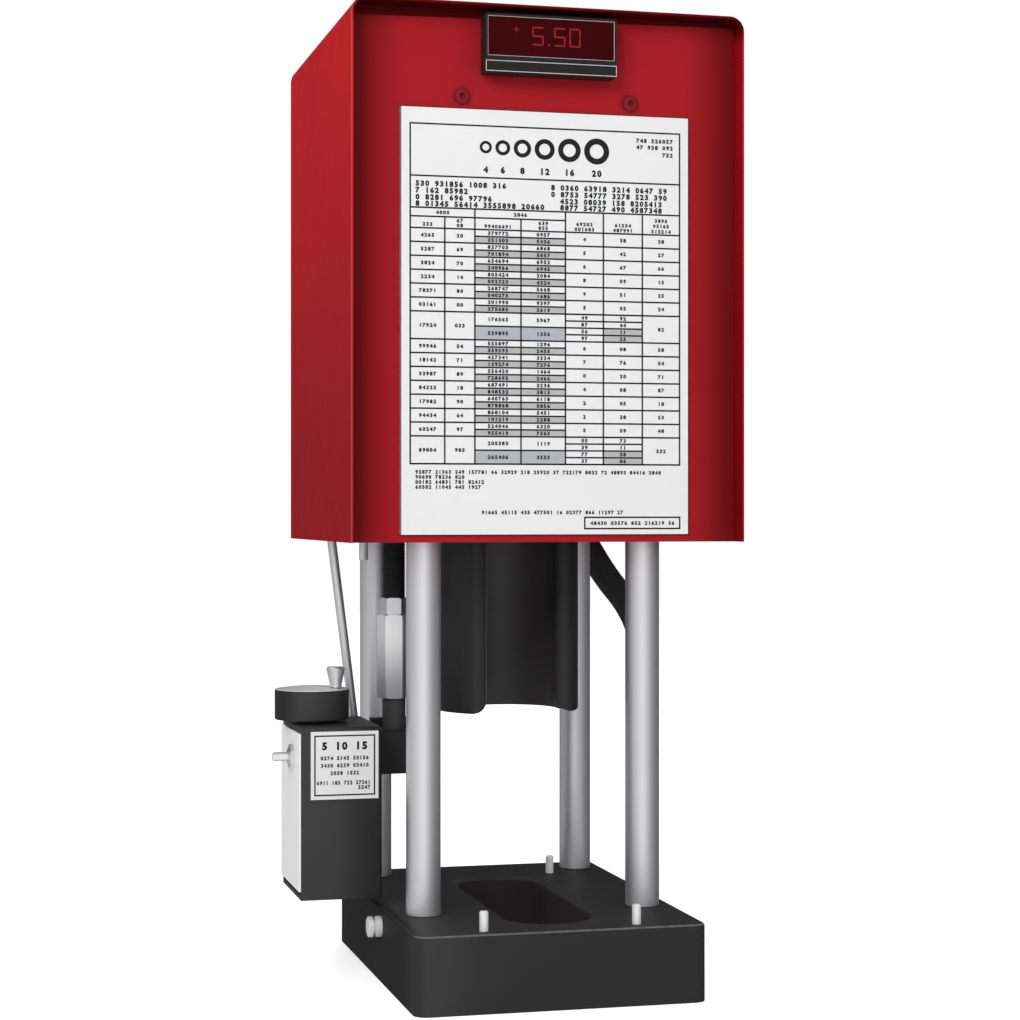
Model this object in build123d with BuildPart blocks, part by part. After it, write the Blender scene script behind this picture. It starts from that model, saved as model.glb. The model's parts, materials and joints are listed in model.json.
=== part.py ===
from build123d import *
import math
import os

# A bench-top hose crimping press: a slotted base block, four columns and a top
# platen carry an oil cylinder under a sheet-metal hood. The ram drives a
# half-round pusher down over the dies. A follower rod hangs from the pusher and
# trips a switch in the setting box at the left, whose dial moves that switch.
# Origin: on the underside of the base, midway between the four columns.
# X to the operator's right, Y away from the operator, Z up. Millimetres.

os.makedirs("parts", exist_ok=True)

# ---------------------------------------------------------------- clearances
fit_gap = 0.05          # running or slip fit, on the radius
loose_gap = 0.3         # between neighbours that move past each other
cover_gap = 0.3         # between the hood and the panel inside it

# ---------------------------------------------------------------- base block
base_width = 213.4
base_depth = 302.0
base_height = 56.0
base_centre_x = -0.8
base_centre_y = -27.5
base_corner_radius = 10.0
base_edge_radius = 2.5
slot_width = 66.5
slot_length = 206.0
slot_corner_gap = 0.5
slot_centre_x = 1.8
slot_centre_y = -49.5
pin_diameter = 6.4
pin_shank_diameter = 6.0
pin_height = 14.0
pin_depth = 16.0
pin_spacing_x = 112.0
pin_spacing_y = 236.0
pin_centre_y = -48.0
bench_hole_diameter = 8.5
bench_hole_depth = 30.0
bench_spacing_x = 110.0
bench_spacing_y = 200.0
post_diameter = 15.4
post_length = 10.0
post_y = -52.0
post_z = 41.4

# ------------------------------------------------------------------- columns
column_diameter = 25.4
column_spacing_x = 167.2
column_spacing_y = 184.2
spigot_diameter = 20.0
column_nut_flats = 30.0
column_nut_height = 16.0
nut_recess_diameter = 40.0
nut_recess_depth = 22.0

# -------------------------------------------------------------------- platen
platen_bottom = 385.0
platen_thickness = 40.0
platen_width = 240.0
platen_depth = 228.0
hose_notch_left = 32.0
hose_notch_right = 88.0
hose_notch_wall = 10.0

# ------------------------------------------------------------------ cylinder
press_y = -10.0
bore_diameter = 100.0
barrel_diameter = 130.0
ram_diameter = 60.0
stroke = 76.0
piston_thickness = 30.0
piston_skirt_gap = 4.0
gland_diameter = 84.0
gland_flange_thickness = 12.0
gland_flange_gap = 0.2
spring_space = 50.0
spring_wire = 7.0
spring_diameter = 84.0
spring_turns = 6
piston_nut_flats = 46.0
piston_nut_height = 16.0
piston_spigot = 30.0
head_room = 4.0
cap_margin = 15.0
cap_thickness = 30.0
cap_spigot_depth = 8.0
tie_rod_diameter = 14.0
tie_rod_spacing = 120.0
tie_head_flats = 22.0
tie_head_height = 10.0
seal_section = 6.0
seal_depth = 5.0

# -------------------------------------------------------------------- pusher
pusher_diameter = 110.0
pusher_wall = 17.0
pusher_mouth_angle = 50.8
pusher_mouth_turn = 5.9
pusher_mouth_rounding = 13.0
pusher_bottom = 197.5
pusher_disc_thickness = 20.0
pusher_disc_top = 363.0
ram_bolt_diameter = 8.0
ram_bolt_circle = 36.0
ram_bolt_head = 13.0
ram_bolt_head_height = 8.0

# --------------------------------------------------------------- follower rod
rod_x = -87.0
rod_y = 0.0
rod_diameter = 18.0
rod_thread = 12.0
yoke_thickness = 12.0
yoke_width = 30.0
yoke_ring_diameter = 100.0
yoke_nut_flats = 18.0
yoke_nut_height = 8.0
rod_bottom = 284.0
lock_nut_flats = 19.4
lock_nut_height = 13.0
coupling_flats = 22.7
coupling_length = 64.0
coupling_turn = -11.3
stud_length = 23.6
arm_height = 32.4
arm_left = -105.0
arm_right = -62.0
arm_depth = 44.0
arm_step_height = 7.0
arm_step_depth = 10.0
arm_step_margin = 3.0
arm_step_width = 30.0
finger_tip = -133.0
finger_depth = 10.0
finger_height = 12.0

# --------------------------------------------------------------------- hood
hood_width = 292.2
hood_front = -142.4
hood_rear = 142.6
hood_bottom = 328.0
hood_crown = 27.9
hood_sheet = 2.0
hood_bend = 11.0
hood_rear_bend = 8.0
panel_recess = 15.5
panel_sheet = 2.0
panel_flange = 14.0
rail_height = 26.0
rail_depth = 16.0
rail_rise = 8.5
rail_sheet = 2.0
panel_screw_x = 63.0
panel_screw_shank = 5.0
panel_screw_head = 11.8
panel_screw_head_height = 3.3
chart_width = 216.0
chart_height = 306.5
chart_bottom = 333.0
chart_sheet = 1.5
bracket_height = 46.0
bracket_sheet = 5.0
bracket_length = 120.0
bracket_lap = 30.0
bracket_screw_depth = 14.0
cap_screw = 6.0
cap_screw_head = 10.0

# ------------------------------------------------------------------- display
display_width = 97.6
display_height = 42.0
display_rise = 36.8
display_proud = 14.9
display_wall = 1.6
display_strip_height = 8.6
display_flange = 8.0
board_sheet = 1.6

# --------------------------------------------------------------- setting box
box_left = -168.5
box_right = -107.9
box_front = -60.0
box_rear = 28.0
box_bottom = 64.0
box_top = 187.0
box_wall = 3.0
box_lid_sheet = 4.0
side_cover_sheet = 1.5
side_cover_bottom = 70.5
finger_slot_bottom = 70.0
finger_slot_top = 176.0
finger_slot_width = 12.0
label_width = 50.5
label_height = 50.0
label_sheet = 0.8
label_x = -136.1
label_z = 163.0
dial_x = -152.8
dial_y = -12.5
dial_diameter = 56.0
dial_height = 22.7
dial_face_diameter = 51.0
dial_face_depth = 2.0
dial_dome = 3.0
dial_boss_diameter = 30.0
dial_boss_height = 2.5
spindle_diameter = 10.0
knob_radius = 21.0
knob_angle = -40.7
knob_top_diameter = 14.2
knob_foot_diameter = 9.0
knob_lift = 1.9
knob_height = 15.2
knob_pin_diameter = 4.0
carriage_width = 21.0
carriage_depth = 24.0
carriage_height = 20.0
carriage_z = 120.0
dial_lead = 2.5
dial_turns = 5
switch_width = 10.0
switch_depth = 20.0
switch_height = 28.0
button_y = -32.0
button_z = 167.5
button_diameter = 6.8
button_reach = 15.5
button_travel = 4.0
button_bush_diameter = 12.0
button_bush_depth = 14.0
button_nut_diameter = 18.6
button_nut_height = 4.0
foot_front = 3.0
foot_rear = 66.0
foot_left = -150.0
foot_right = -88.0
foot_right_front = -104.0
foot_corner = 6.0
foot_screw_depth = 12.0
foot_edge = 10.0
foot_box_edge = 6.0
foot_box_pitch = 10.5

# ---------------------------------------------------------- brace and stop peg
brace_y = 37.0
brace_diameter = 7.0
brace_low_x = -106.7
brace_low_z = 150.0
brace_high_x = -136.6
brace_high_z = 387.0
lug_size = 16.0
peg_diameter = 7.0
peg_x = -107.0
peg_y = 20.0
peg_bottom = 312.5

# ---------------------------------------------------------------------- hose
hose_diameter = 22.0
hose_ferrule_diameter = 27.0
hose_ferrule_length = 42.0
elbow_diameter = 20.0
elbow_radius = 17.0
elbow_nut_flats = 24.0
elbow_nut_height = 16.0
coupler_diameter = 28.0
coupler_length = 54.0
coupler_shell_gap = 16.0
coupler_shell_length = 26.0
hose_route = [
    (45.0, 116.3, 560.0),
    (45.0, 116.3, 446.2),
    (99.6, 118.2, 316.7),
    (164.7, 144.1, 248.7),
    (163.5, 174.4, 155.9),
    (188.2, 241.7, 11.8),
    (236.0, 392.8, 14.8),
]

# ------------------------------------------------------------- derived places
column_places = [
    (x * column_spacing_x / 2, y * column_spacing_y / 2)
    for x in (-1, 1)
    for y in (-1, 1)
]
base_left = base_centre_x - base_width / 2
slot_corner_radius = slot_width / 2 - slot_corner_gap
foot_thickness = box_bottom - base_height
chart_top = chart_bottom + chart_height
rail_z = chart_top + rail_rise
display_centre_z = rail_z + display_rise
hood_top = display_centre_z + hood_crown
cap_size = tie_rod_spacing + 2 * cap_margin
column_names = ["front_left", "rear_left", "front_right", "rear_right"]
platen_top = platen_bottom + platen_thickness
gland_top = platen_top + gland_flange_thickness
piston_bottom = gland_top + spring_space + stroke
piston_top = piston_bottom + piston_thickness
barrel_top = piston_top + piston_nut_height + head_room + cap_spigot_depth
cap_top = barrel_top + cap_thickness
port_z = barrel_top + cap_thickness / 2
panel_front = hood_front + panel_recess
panel_rear = panel_front + panel_sheet
hood_inside = hood_width / 2 - hood_sheet
yoke_top = pusher_disc_top + yoke_thickness
lock_nut_bottom = rod_bottom - lock_nut_height
coupling_bottom = lock_nut_bottom - coupling_length
arm_top = coupling_bottom - stud_length
arm_bottom = arm_top - arm_height
lid_top = box_top + box_lid_sheet
bracket_screws = [
    (side * (platen_width / 2 - bracket_lap / 2), along * bracket_length / 3)
    for side in (-1, 1)
    for along in (-1, 1)
]
foot_base_screws = [
    (foot_right - foot_edge, foot_rear - 3 * foot_edge),
    (foot_right - foot_edge + 2.0, foot_rear - foot_edge),
]
foot_box_screws = [
    (x, foot_front + foot_box_edge + row * foot_box_pitch)
    for x in (foot_left + foot_edge, foot_right_front - 2 * foot_edge)
    for row in (0, 1)
]
dial_bottom = lid_top + dial_boss_height
dial_top = dial_bottom + dial_height
brace_low = Vector(brace_low_x, brace_y, brace_low_z)
brace_high = Vector(brace_high_x, brace_y, brace_high_z)


def save(piece, name):
    """Label one finished piece and write it to its own STEP file."""
    piece.part.label = name
    export_step(piece.part, f"parts/{name}.step")


def place(name, build):
    """Build one piece inside its own part context and save it."""
    with BuildPart() as piece:
        build()
    save(piece, name)
    return piece


def box_between(low, high, mode=Mode.ADD):
    """A block from its lowest to its highest corner."""
    size = [b - a for a, b in zip(low, high)]
    centre = [(a + b) / 2 for a, b in zip(low, high)]
    with Locations(tuple(centre)):
        Box(*size, mode=mode)


def post_between(x, y, radius, low, high, mode=Mode.ADD):
    """An upright cylinder on (x, y) from one height to another."""
    with Locations((x, y, (low + high) / 2)):
        Cylinder(radius, high - low, mode=mode)


def hex_prism(x, y, flats, low, high, turn=0.0):
    """An upright hexagonal prism, given the size across its flats."""
    with BuildSketch(Plane.XY.offset(low)) as outline:
        with Locations((x, y)):
            RegularPolygon(flats / 2, 6, major_radius=False, rotation=turn)
    extrude(outline.sketch, amount=high - low)


# ------------------------------------------------------------------ the frame
with BuildPart() as base:
    with BuildSketch(Plane.XY):
        with Locations((base_centre_x, base_centre_y)):
            RectangleRounded(base_width, base_depth, base_corner_radius)
    extrude(amount=base_height)
    top_rim = base.faces().sort_by(Axis.Z)[-1].edges()
    fillet(top_rim, base_edge_radius)
    with BuildSketch(Plane.XY):
        with Locations((slot_centre_x, slot_centre_y)):
            RectangleRounded(slot_width, slot_length, slot_corner_radius)
    extrude(amount=base_height, mode=Mode.SUBTRACT)
    for x, y in column_places:
        post_between(x, y, spigot_diameter / 2 + fit_gap, 0, base_height, Mode.SUBTRACT)
        post_between(x, y, nut_recess_diameter / 2, 0, nut_recess_depth, Mode.SUBTRACT)
    with Locations((0, pin_centre_y, base_height - pin_depth / 2)):
        with GridLocations(pin_spacing_x, pin_spacing_y, 2, 2):
            Cylinder(pin_shank_diameter / 2, pin_depth, mode=Mode.SUBTRACT)
    with Locations((0, 0, bench_hole_depth / 2)):
        with GridLocations(bench_spacing_x, bench_spacing_y, 2, 2):
            Cylinder(bench_hole_diameter / 2, bench_hole_depth, mode=Mode.SUBTRACT)
    with Locations(Plane((base_left, post_y, post_z), z_dir=(1, 0, 0))):
        Cylinder(post_diameter / 4, 2 * post_length, mode=Mode.SUBTRACT)
    for x, y in foot_base_screws:
        radius = cap_screw / 2 + fit_gap
        low = base_height - foot_screw_depth
        post_between(x, y, radius, low, base_height, Mode.SUBTRACT)
save(base, "base")

for (x, y), name in zip(column_places, column_names):
    with BuildPart() as column:
        post_between(x, y, column_diameter / 2, base_height, platen_bottom)
        chamfer(column.edges().filter_by(GeomType.CIRCLE), 0.6)
        low_end = nut_recess_depth - column_nut_height - 2.0
        post_between(x, y, spigot_diameter / 2, low_end, base_height)
        high_end = platen_top + column_nut_height + 4.0
        post_between(x, y, spigot_diameter / 2, platen_bottom, high_end)
    save(column, f"column_{name}")

with BuildPart() as column_nuts:
    for low in (nut_recess_depth - column_nut_height, platen_top):
        high = low + column_nut_height
        for x, y in column_places:
            hex_prism(x, y, column_nut_flats, low, high, 30)
        for x, y in column_places:
            radius = spigot_diameter / 2 + fit_gap
            post_between(x, y, radius, low, high, Mode.SUBTRACT)
save(column_nuts, "column_nuts")

with BuildPart() as locating_pins:
    with Locations((0, pin_centre_y, base_height + pin_height / 2)):
        with GridLocations(pin_spacing_x, pin_spacing_y, 2, 2):
            Cylinder(pin_diameter / 2, pin_height)
    chamfer(locating_pins.edges().group_by(Axis.Z)[-1], 0.8)
    with Locations((0, pin_centre_y, base_height - pin_depth / 2)):
        with GridLocations(pin_spacing_x, pin_spacing_y, 2, 2):
            Cylinder(pin_shank_diameter / 2, pin_depth)
save(locating_pins, "locating_pins")

with BuildPart() as base_post:
    head = post_diameter / 2
    with BuildSketch(Plane.XY):
        with BuildLine():
            Polyline(
                (base_left + post_length, 0),
                (base_left + post_length, head / 2),
                (base_left, head / 2),
                (base_left, head),
                (base_left - post_length * 0.38, head),
                (base_left - post_length * 0.44, head * 0.62),
                (base_left - post_length * 0.58, head * 0.62),
                (base_left - post_length * 0.64, head),
                (base_left - post_length * 0.93, head),
                (base_left - post_length, head * 0.86),
                (base_left - post_length, 0),
                close=True,
            )
        make_face()
    revolve(axis=Axis.X)
base_post.part = base_post.part.moved(Location((0, post_y, post_z)))
save(base_post, "base_post")

with BuildPart() as platen:
    with BuildSketch(Plane.XY.offset(platen_bottom)):
        RectangleRounded(platen_width, platen_depth, 8)
        notch_width = hose_notch_right - hose_notch_left
        notch_x = (hose_notch_right + hose_notch_left) / 2
        with Locations((notch_x, platen_depth / 2)):
            Rectangle(notch_width, 2 * hose_notch_wall, mode=Mode.SUBTRACT)
        with Locations(*column_places):
            Circle(spigot_diameter / 2 + fit_gap, mode=Mode.SUBTRACT)
        with Locations((0, press_y)):
            Circle(gland_diameter / 2 + fit_gap, mode=Mode.SUBTRACT)
            with GridLocations(tie_rod_spacing, tie_rod_spacing, 2, 2):
                Circle(tie_rod_diameter / 2 + fit_gap, mode=Mode.SUBTRACT)
        with Locations((peg_x, peg_y)):
            Circle(peg_diameter / 2 + fit_gap, mode=Mode.SUBTRACT)
    extrude(amount=platen_thickness)
    for x, y in bracket_screws:
        low = platen_top - bracket_screw_depth
        post_between(x, y, cap_screw / 2 + fit_gap, low, platen_top, Mode.SUBTRACT)
    chamfer(platen.faces().sort_by(Axis.Z)[-1].outer_wire().edges(), 1.0)
    chamfer(platen.faces().sort_by(Axis.Z)[0].outer_wire().edges(), 1.0)
save(platen, "platen")

place(
    "stop_peg",
    lambda: post_between(peg_x, peg_y, peg_diameter / 2, peg_bottom, platen_top),
)

# --------------------------------------------------------------- the cylinder
with BuildPart() as gland:
    post_between(0, press_y, gland_diameter / 2, platen_bottom, platen_top)
    flange_radius = bore_diameter / 2 - gland_flange_gap
    post_between(0, press_y, flange_radius, platen_top, gland_top)
    inner = ram_diameter / 2 + fit_gap
    post_between(0, press_y, inner, platen_bottom, gland_top, Mode.SUBTRACT)
    seal_low = platen_top - 2 * seal_section
    seal_high = seal_low + seal_section
    groove = ram_diameter / 2 + seal_depth
    post_between(0, press_y, groove, seal_low, seal_high, Mode.SUBTRACT)
save(gland, "gland")

with BuildPart() as rod_seal:
    post_between(0, press_y, groove - fit_gap, seal_low + fit_gap, seal_high - fit_gap)
    post_between(0, press_y, inner, seal_low, seal_high, Mode.SUBTRACT)
save(rod_seal, "rod_seal")

with BuildPart() as barrel:
    post_between(0, press_y, barrel_diameter / 2, platen_top, barrel_top)
    chamfer(barrel.edges().filter_by(GeomType.CIRCLE), 1.0)
    post_between(0, press_y, bore_diameter / 2, platen_top, barrel_top, Mode.SUBTRACT)
save(barrel, "cylinder_barrel")

with BuildPart() as end_cap:
    with BuildSketch(Plane.XY.offset(barrel_top)):
        with Locations((0, press_y)):
            RectangleRounded(cap_size, cap_size, 12)
            with GridLocations(tie_rod_spacing, tie_rod_spacing, 2, 2):
                Circle(tie_rod_diameter / 2 + fit_gap, mode=Mode.SUBTRACT)
    extrude(amount=cap_thickness)
    chamfer(end_cap.faces().sort_by(Axis.Z)[-1].outer_wire().edges(), 2.0)
    spigot_radius = bore_diameter / 2 - gland_flange_gap
    post_between(0, press_y, spigot_radius, barrel_top - cap_spigot_depth, barrel_top)
save(end_cap, "cylinder_cap")

with BuildPart() as tie_bolts:
    with Locations((0, press_y)):
        with GridLocations(tie_rod_spacing, tie_rod_spacing, 2, 2) as corners:
            tie_places = [(p.position.X, p.position.Y) for p in corners.locations]
    for x, y in tie_places:
        post_between(x, y, tie_rod_diameter / 2, platen_bottom + 6, cap_top)
        hex_prism(x, y, tie_head_flats, cap_top, cap_top + tie_head_height, 15)
save(tie_bolts, "tie_bolts")

with BuildPart() as ram:
    post_between(0, press_y, ram_diameter / 2, pusher_disc_top, piston_bottom)
    post_between(0, press_y, piston_spigot / 2, piston_bottom, piston_top + piston_nut_height)
    chamfer(ram.edges().group_by(Axis.Z)[-1], 1.5)
    with Locations((0, press_y, pusher_disc_top + 12)):
        with PolarLocations(ram_bolt_circle / 2, 4, start_angle=45):
            Cylinder(ram_bolt_diameter / 2 + fit_gap, 24, mode=Mode.SUBTRACT)
save(ram, "ram")

with BuildPart() as piston:
    post_between(0, press_y, bore_diameter / 2 - fit_gap, piston_bottom, piston_top)
    chamfer(piston.edges().filter_by(GeomType.CIRCLE), 1.5)
    radius = piston_spigot / 2 + fit_gap
    post_between(0, press_y, radius, piston_bottom, piston_top, Mode.SUBTRACT)
    ring_low = (piston_bottom + piston_top - seal_section) / 2
    ring_high = ring_low + seal_section
    with BuildSketch(Plane.XY.offset(ring_low)):
        with Locations((0, press_y)):
            Circle(bore_diameter / 2)
            Circle(bore_diameter / 2 - seal_depth, mode=Mode.SUBTRACT)
    extrude(amount=seal_section, mode=Mode.SUBTRACT)
save(piston, "piston")

with BuildPart() as piston_seal:
    with BuildSketch(Plane.XY.offset(ring_low + fit_gap)):
        with Locations((0, press_y)):
            Circle(bore_diameter / 2 - fit_gap)
            Circle(bore_diameter / 2 - seal_depth + fit_gap, mode=Mode.SUBTRACT)
    extrude(amount=seal_section - 2 * fit_gap)
save(piston_seal, "piston_seal")

with BuildPart() as piston_nut:
    hex_prism(0, press_y, piston_nut_flats, piston_top, piston_top + piston_nut_height)
    radius = piston_spigot / 2 + fit_gap
    high = piston_top + piston_nut_height
    post_between(0, press_y, radius, piston_top, high, Mode.SUBTRACT)
save(piston_nut, "piston_nut")

spring_low = gland_top + spring_wire / 2 + loose_gap
spring_high = piston_bottom - spring_wire / 2 - loose_gap
with BuildPart() as return_spring:
    with BuildLine(Plane((0, press_y, spring_low))) as coil:
        spring_pitch = (spring_high - spring_low) / spring_turns
        Helix(spring_pitch, spring_high - spring_low, spring_diameter / 2)
    with BuildSketch(Plane(coil.line @ 0, z_dir=coil.line % 0)):
        Circle(spring_wire / 2)
    sweep(path=coil.line, is_frenet=True)
save(return_spring, "return_spring")

# ----------------------------------------------------------------- the pusher
with BuildPart() as pusher:
    outer_radius = pusher_diameter / 2
    mean_radius = outer_radius - pusher_wall / 2
    mouth_angles = [
        math.radians(pusher_mouth_turn + side * pusher_mouth_angle) for side in (-1, 1)
    ]
    with BuildSketch(Plane.XY.offset(pusher_bottom)):
        with Locations((0, press_y)):
            Circle(outer_radius)
            Circle(outer_radius - pusher_wall, mode=Mode.SUBTRACT)
        reach = 2 * outer_radius
        with BuildLine():
            Polyline(
                (0, press_y),
                *[(reach * math.sin(a), press_y - reach * math.cos(a)) for a in mouth_angles],
                close=True,
            )
        make_face(mode=Mode.SUBTRACT)
        mouth_ends = [
            (mean_radius * math.sin(a), press_y - mean_radius * math.cos(a))
            for a in mouth_angles
        ]
        with Locations(*mouth_ends):
            Circle(pusher_wall / 2)
    extrude(amount=pusher_disc_top - pusher_disc_thickness - pusher_bottom)
    low_rim = pusher.faces().sort_by(Axis.Z)[0].edges()
    chamfer(low_rim, 1.2)
    for side, (end_x, end_y) in zip((-1, 1), mouth_ends):
        corner_x = end_x - side * pusher_wall / 2
        middle_x = corner_x + side * pusher_mouth_rounding
        middle_z = pusher_bottom + pusher_mouth_rounding
        cut_plane = Plane((0, end_y, 0), x_dir=(1, 0, 0), z_dir=(0, -1, 0))
        with BuildSketch(cut_plane) as mouth_corner:
            with Locations(((corner_x + middle_x) / 2, (pusher_bottom + middle_z) / 2)):
                Rectangle(pusher_mouth_rounding, pusher_mouth_rounding)
            with Locations((middle_x, middle_z)):
                Circle(pusher_mouth_rounding, mode=Mode.SUBTRACT)
        extrude(mouth_corner.sketch, amount=pusher_wall, both=True, mode=Mode.SUBTRACT)
    disc_low = pusher_disc_top - pusher_disc_thickness
    post_between(0, press_y, outer_radius, disc_low, pusher_disc_top)
    with Locations((0, press_y, pusher_disc_top - pusher_disc_thickness / 2)):
        with PolarLocations(ram_bolt_circle / 2, 4, start_angle=45):
            Cylinder(
                ram_bolt_diameter / 2 + fit_gap, pusher_disc_thickness, mode=Mode.SUBTRACT,
            )
save(pusher, "pusher")

with BuildPart() as pusher_bolts:
    with Locations((0, press_y)):
        with PolarLocations(ram_bolt_circle / 2, 4, start_angle=45) as ring:
            bolt_places = [(p.position.X, p.position.Y) for p in ring.locations]
    for x, y in bolt_places:
        post_between(x, y, ram_bolt_diameter / 2, disc_low, pusher_disc_top + 20)
        post_between(x, y, ram_bolt_head / 2, disc_low - ram_bolt_head_height, disc_low)
save(pusher_bolts, "pusher_bolts")

# ------------------------------------------------------------ the follower rod
with BuildPart() as yoke:
    with BuildSketch(Plane.XY.offset(pusher_disc_top)):
        with Locations((0, press_y)):
            Circle(yoke_ring_diameter / 2)
        with Locations((rod_x / 2, rod_y)):
            Rectangle(-rod_x, yoke_width)
        with Locations((rod_x, rod_y)):
            Circle(yoke_width / 2)
            Circle(rod_thread / 2 + fit_gap, mode=Mode.SUBTRACT)
        with Locations((0, press_y)):
            Circle(ram_diameter / 2 + fit_gap, mode=Mode.SUBTRACT)
    extrude(amount=yoke_thickness)
    chamfer(yoke.faces().sort_by(Axis.Z)[-1].outer_wire().edges(), 0.8)
save(yoke, "follower_yoke")

with BuildPart() as follower_rod:
    post_between(rod_x, rod_y, rod_diameter / 2, rod_bottom, pusher_disc_top)
    chamfer(follower_rod.edges().filter_by(GeomType.CIRCLE), 0.8)
    high = yoke_top + yoke_nut_height
    post_between(rod_x, rod_y, rod_thread / 2, pusher_disc_top, high)
    low = lock_nut_bottom - coupling_length * 0.45
    post_between(rod_x, rod_y, rod_thread / 2, low, rod_bottom)
save(follower_rod, "follower_rod")

for name, flats, low, high, turn in (
    ("yoke_nut", yoke_nut_flats, yoke_top, yoke_top + yoke_nut_height, 0.0),
    ("lock_nut", lock_nut_flats, lock_nut_bottom, rod_bottom, coupling_turn),
    ("hex_coupling", coupling_flats, coupling_bottom, lock_nut_bottom, coupling_turn),
):
    with BuildPart() as nut:
        hex_prism(rod_x, rod_y, flats, low, high, turn)
        corner = flats / 2 / math.cos(math.radians(30))
        with BuildPart(mode=Mode.INTERSECT) as turned_ends:
            post_between(rod_x, rod_y, corner - 0.1, low, high)
            chamfer(turned_ends.edges().filter_by(GeomType.CIRCLE), 0.9)
        post_between(rod_x, rod_y, rod_thread / 2 + fit_gap, low, high, Mode.SUBTRACT)
    save(nut, name)

with BuildPart() as follower_stud:
    post_between(rod_x, rod_y, rod_diameter / 2, arm_top, coupling_bottom)
    high = coupling_bottom + coupling_length * 0.45
    post_between(rod_x, rod_y, rod_thread / 2, coupling_bottom, high)
    post_between(rod_x, rod_y, rod_thread / 2, arm_bottom + 4, arm_top)
save(follower_stud, "follower_stud")

with BuildPart() as trip_arm:
    box_between(
        (arm_left, rod_y - arm_depth / 2, arm_bottom),
        (arm_right, rod_y + arm_depth / 2, arm_top),
    )
    fillet(trip_arm.edges().filter_by(Axis.Z), 3.0)
    chamfer(trip_arm.faces().sort_by(Axis.Z)[-1].edges(), 0.8)
    step_rear = rod_y + arm_depth / 2
    step_left = arm_left + arm_step_margin
    box_between(
        (step_left, step_rear - arm_step_depth, arm_top),
        (step_left + arm_step_width, step_rear, arm_top + arm_step_height),
    )
    finger_z = (arm_bottom + arm_top) / 2
    box_between(
        (finger_tip, rod_y - finger_depth / 2, finger_z - finger_height / 2),
        (arm_left, rod_y + finger_depth / 2, finger_z + finger_height / 2),
    )
    post_between(rod_x, rod_y, rod_thread / 2 + fit_gap, arm_bottom, arm_top, Mode.SUBTRACT)
save(trip_arm, "trip_arm")

# ------------------------------------------------------------------- the hood
with BuildPart() as hood:
    box_between(
        (-hood_width / 2, hood_front, hood_bottom), (hood_width / 2, hood_rear, hood_top)
    )
    roof_edges = hood.faces().sort_by(Axis.Z)[-1].edges()
    fillet(
        roof_edges.filter_by(Axis.Y) + roof_edges.filter_by(Axis.X).sort_by(Axis.Y)[-1:],
        hood_bend,
    )
    rear_uprights = hood.edges().filter_by(Axis.Z).group_by(Axis.Y)[-1]
    fillet(rear_uprights, hood_rear_bend)
    openings = [hood.faces().sort_by(Axis.Z)[0], hood.faces().sort_by(Axis.Y)[0]]
    offset(amount=-hood_sheet, openings=openings, kind=Kind.ARC)
save(hood, "hood")

with BuildPart() as front_panel:
    panel_half = hood_inside - cover_gap
    panel_high = hood_top - hood_sheet - cover_gap
    panel_corner = hood_bend - hood_sheet
    panel_plane = Plane((0, panel_front, 0), x_dir=(1, 0, 0), z_dir=(0, -1, 0))
    with BuildSketch(panel_plane):
        with BuildLine():
            Polyline(
                (-panel_half, hood_bottom),
                (panel_half, hood_bottom),
                (panel_half, panel_high - panel_corner),
            )
            JernArc(
                (panel_half, panel_high - panel_corner), (0, 1), panel_corner, 90,
            )
            Line((panel_half - panel_corner, panel_high), (panel_corner - panel_half, panel_high))
            JernArc((panel_corner - panel_half, panel_high), (-1, 0), panel_corner, 90)
            Line((-panel_half, panel_high - panel_corner), (-panel_half, hood_bottom))
        make_face()
        with Locations((0, display_centre_z)):
            Rectangle(
                display_width - 2 * display_wall, display_height - 2 * display_wall,
                mode=Mode.SUBTRACT,
            )
        with Locations((-panel_screw_x, rail_z), (panel_screw_x, rail_z)):
            Circle(panel_screw_shank / 2 + fit_gap, mode=Mode.SUBTRACT)
    extrude(amount=-panel_sheet)
    for low_x in (-panel_half, panel_half - panel_sheet):
        box_between(
            (low_x, panel_rear, hood_bottom),
            (low_x + panel_sheet, panel_rear + panel_flange, rail_z - rail_height),
        )
    box_between(
        (-panel_half, panel_rear, hood_bottom),
        (panel_half, panel_rear + panel_flange, hood_bottom + panel_sheet),
    )
save(front_panel, "front_panel")

with BuildPart() as panel_rail:
    rail_low = rail_z - rail_height / 2
    rail_high = rail_z + rail_height / 2
    box_between(
        (-hood_inside, panel_rear, rail_low),
        (hood_inside, panel_rear + rail_sheet, rail_high),
    )
    box_between(
        (-hood_inside, panel_rear, rail_low),
        (hood_inside, panel_rear + rail_depth, rail_low + rail_sheet),
    )
    rail_plane = Plane((0, panel_rear, 0), x_dir=(1, 0, 0), z_dir=(0, -1, 0))
    with BuildSketch(rail_plane):
        with Locations((-panel_screw_x, rail_z), (panel_screw_x, rail_z)):
            Circle(panel_screw_shank / 2 + fit_gap)
    extrude(amount=-rail_sheet, mode=Mode.SUBTRACT)
save(panel_rail, "panel_rail")

with BuildPart() as panel_screws:
    with BuildSketch(panel_plane):
        with Locations((-panel_screw_x, rail_z), (panel_screw_x, rail_z)):
            Circle(panel_screw_head / 2)
    extrude(amount=panel_screw_head_height)
    fillet(panel_screws.edges().group_by(Axis.Y)[0], 1.6)
    with BuildSketch(panel_plane):
        with Locations((-panel_screw_x, rail_z), (panel_screw_x, rail_z)):
            Circle(panel_screw_shank / 2)
    extrude(amount=-(panel_sheet + rail_sheet + 8))
save(panel_screws, "panel_screws")

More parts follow.
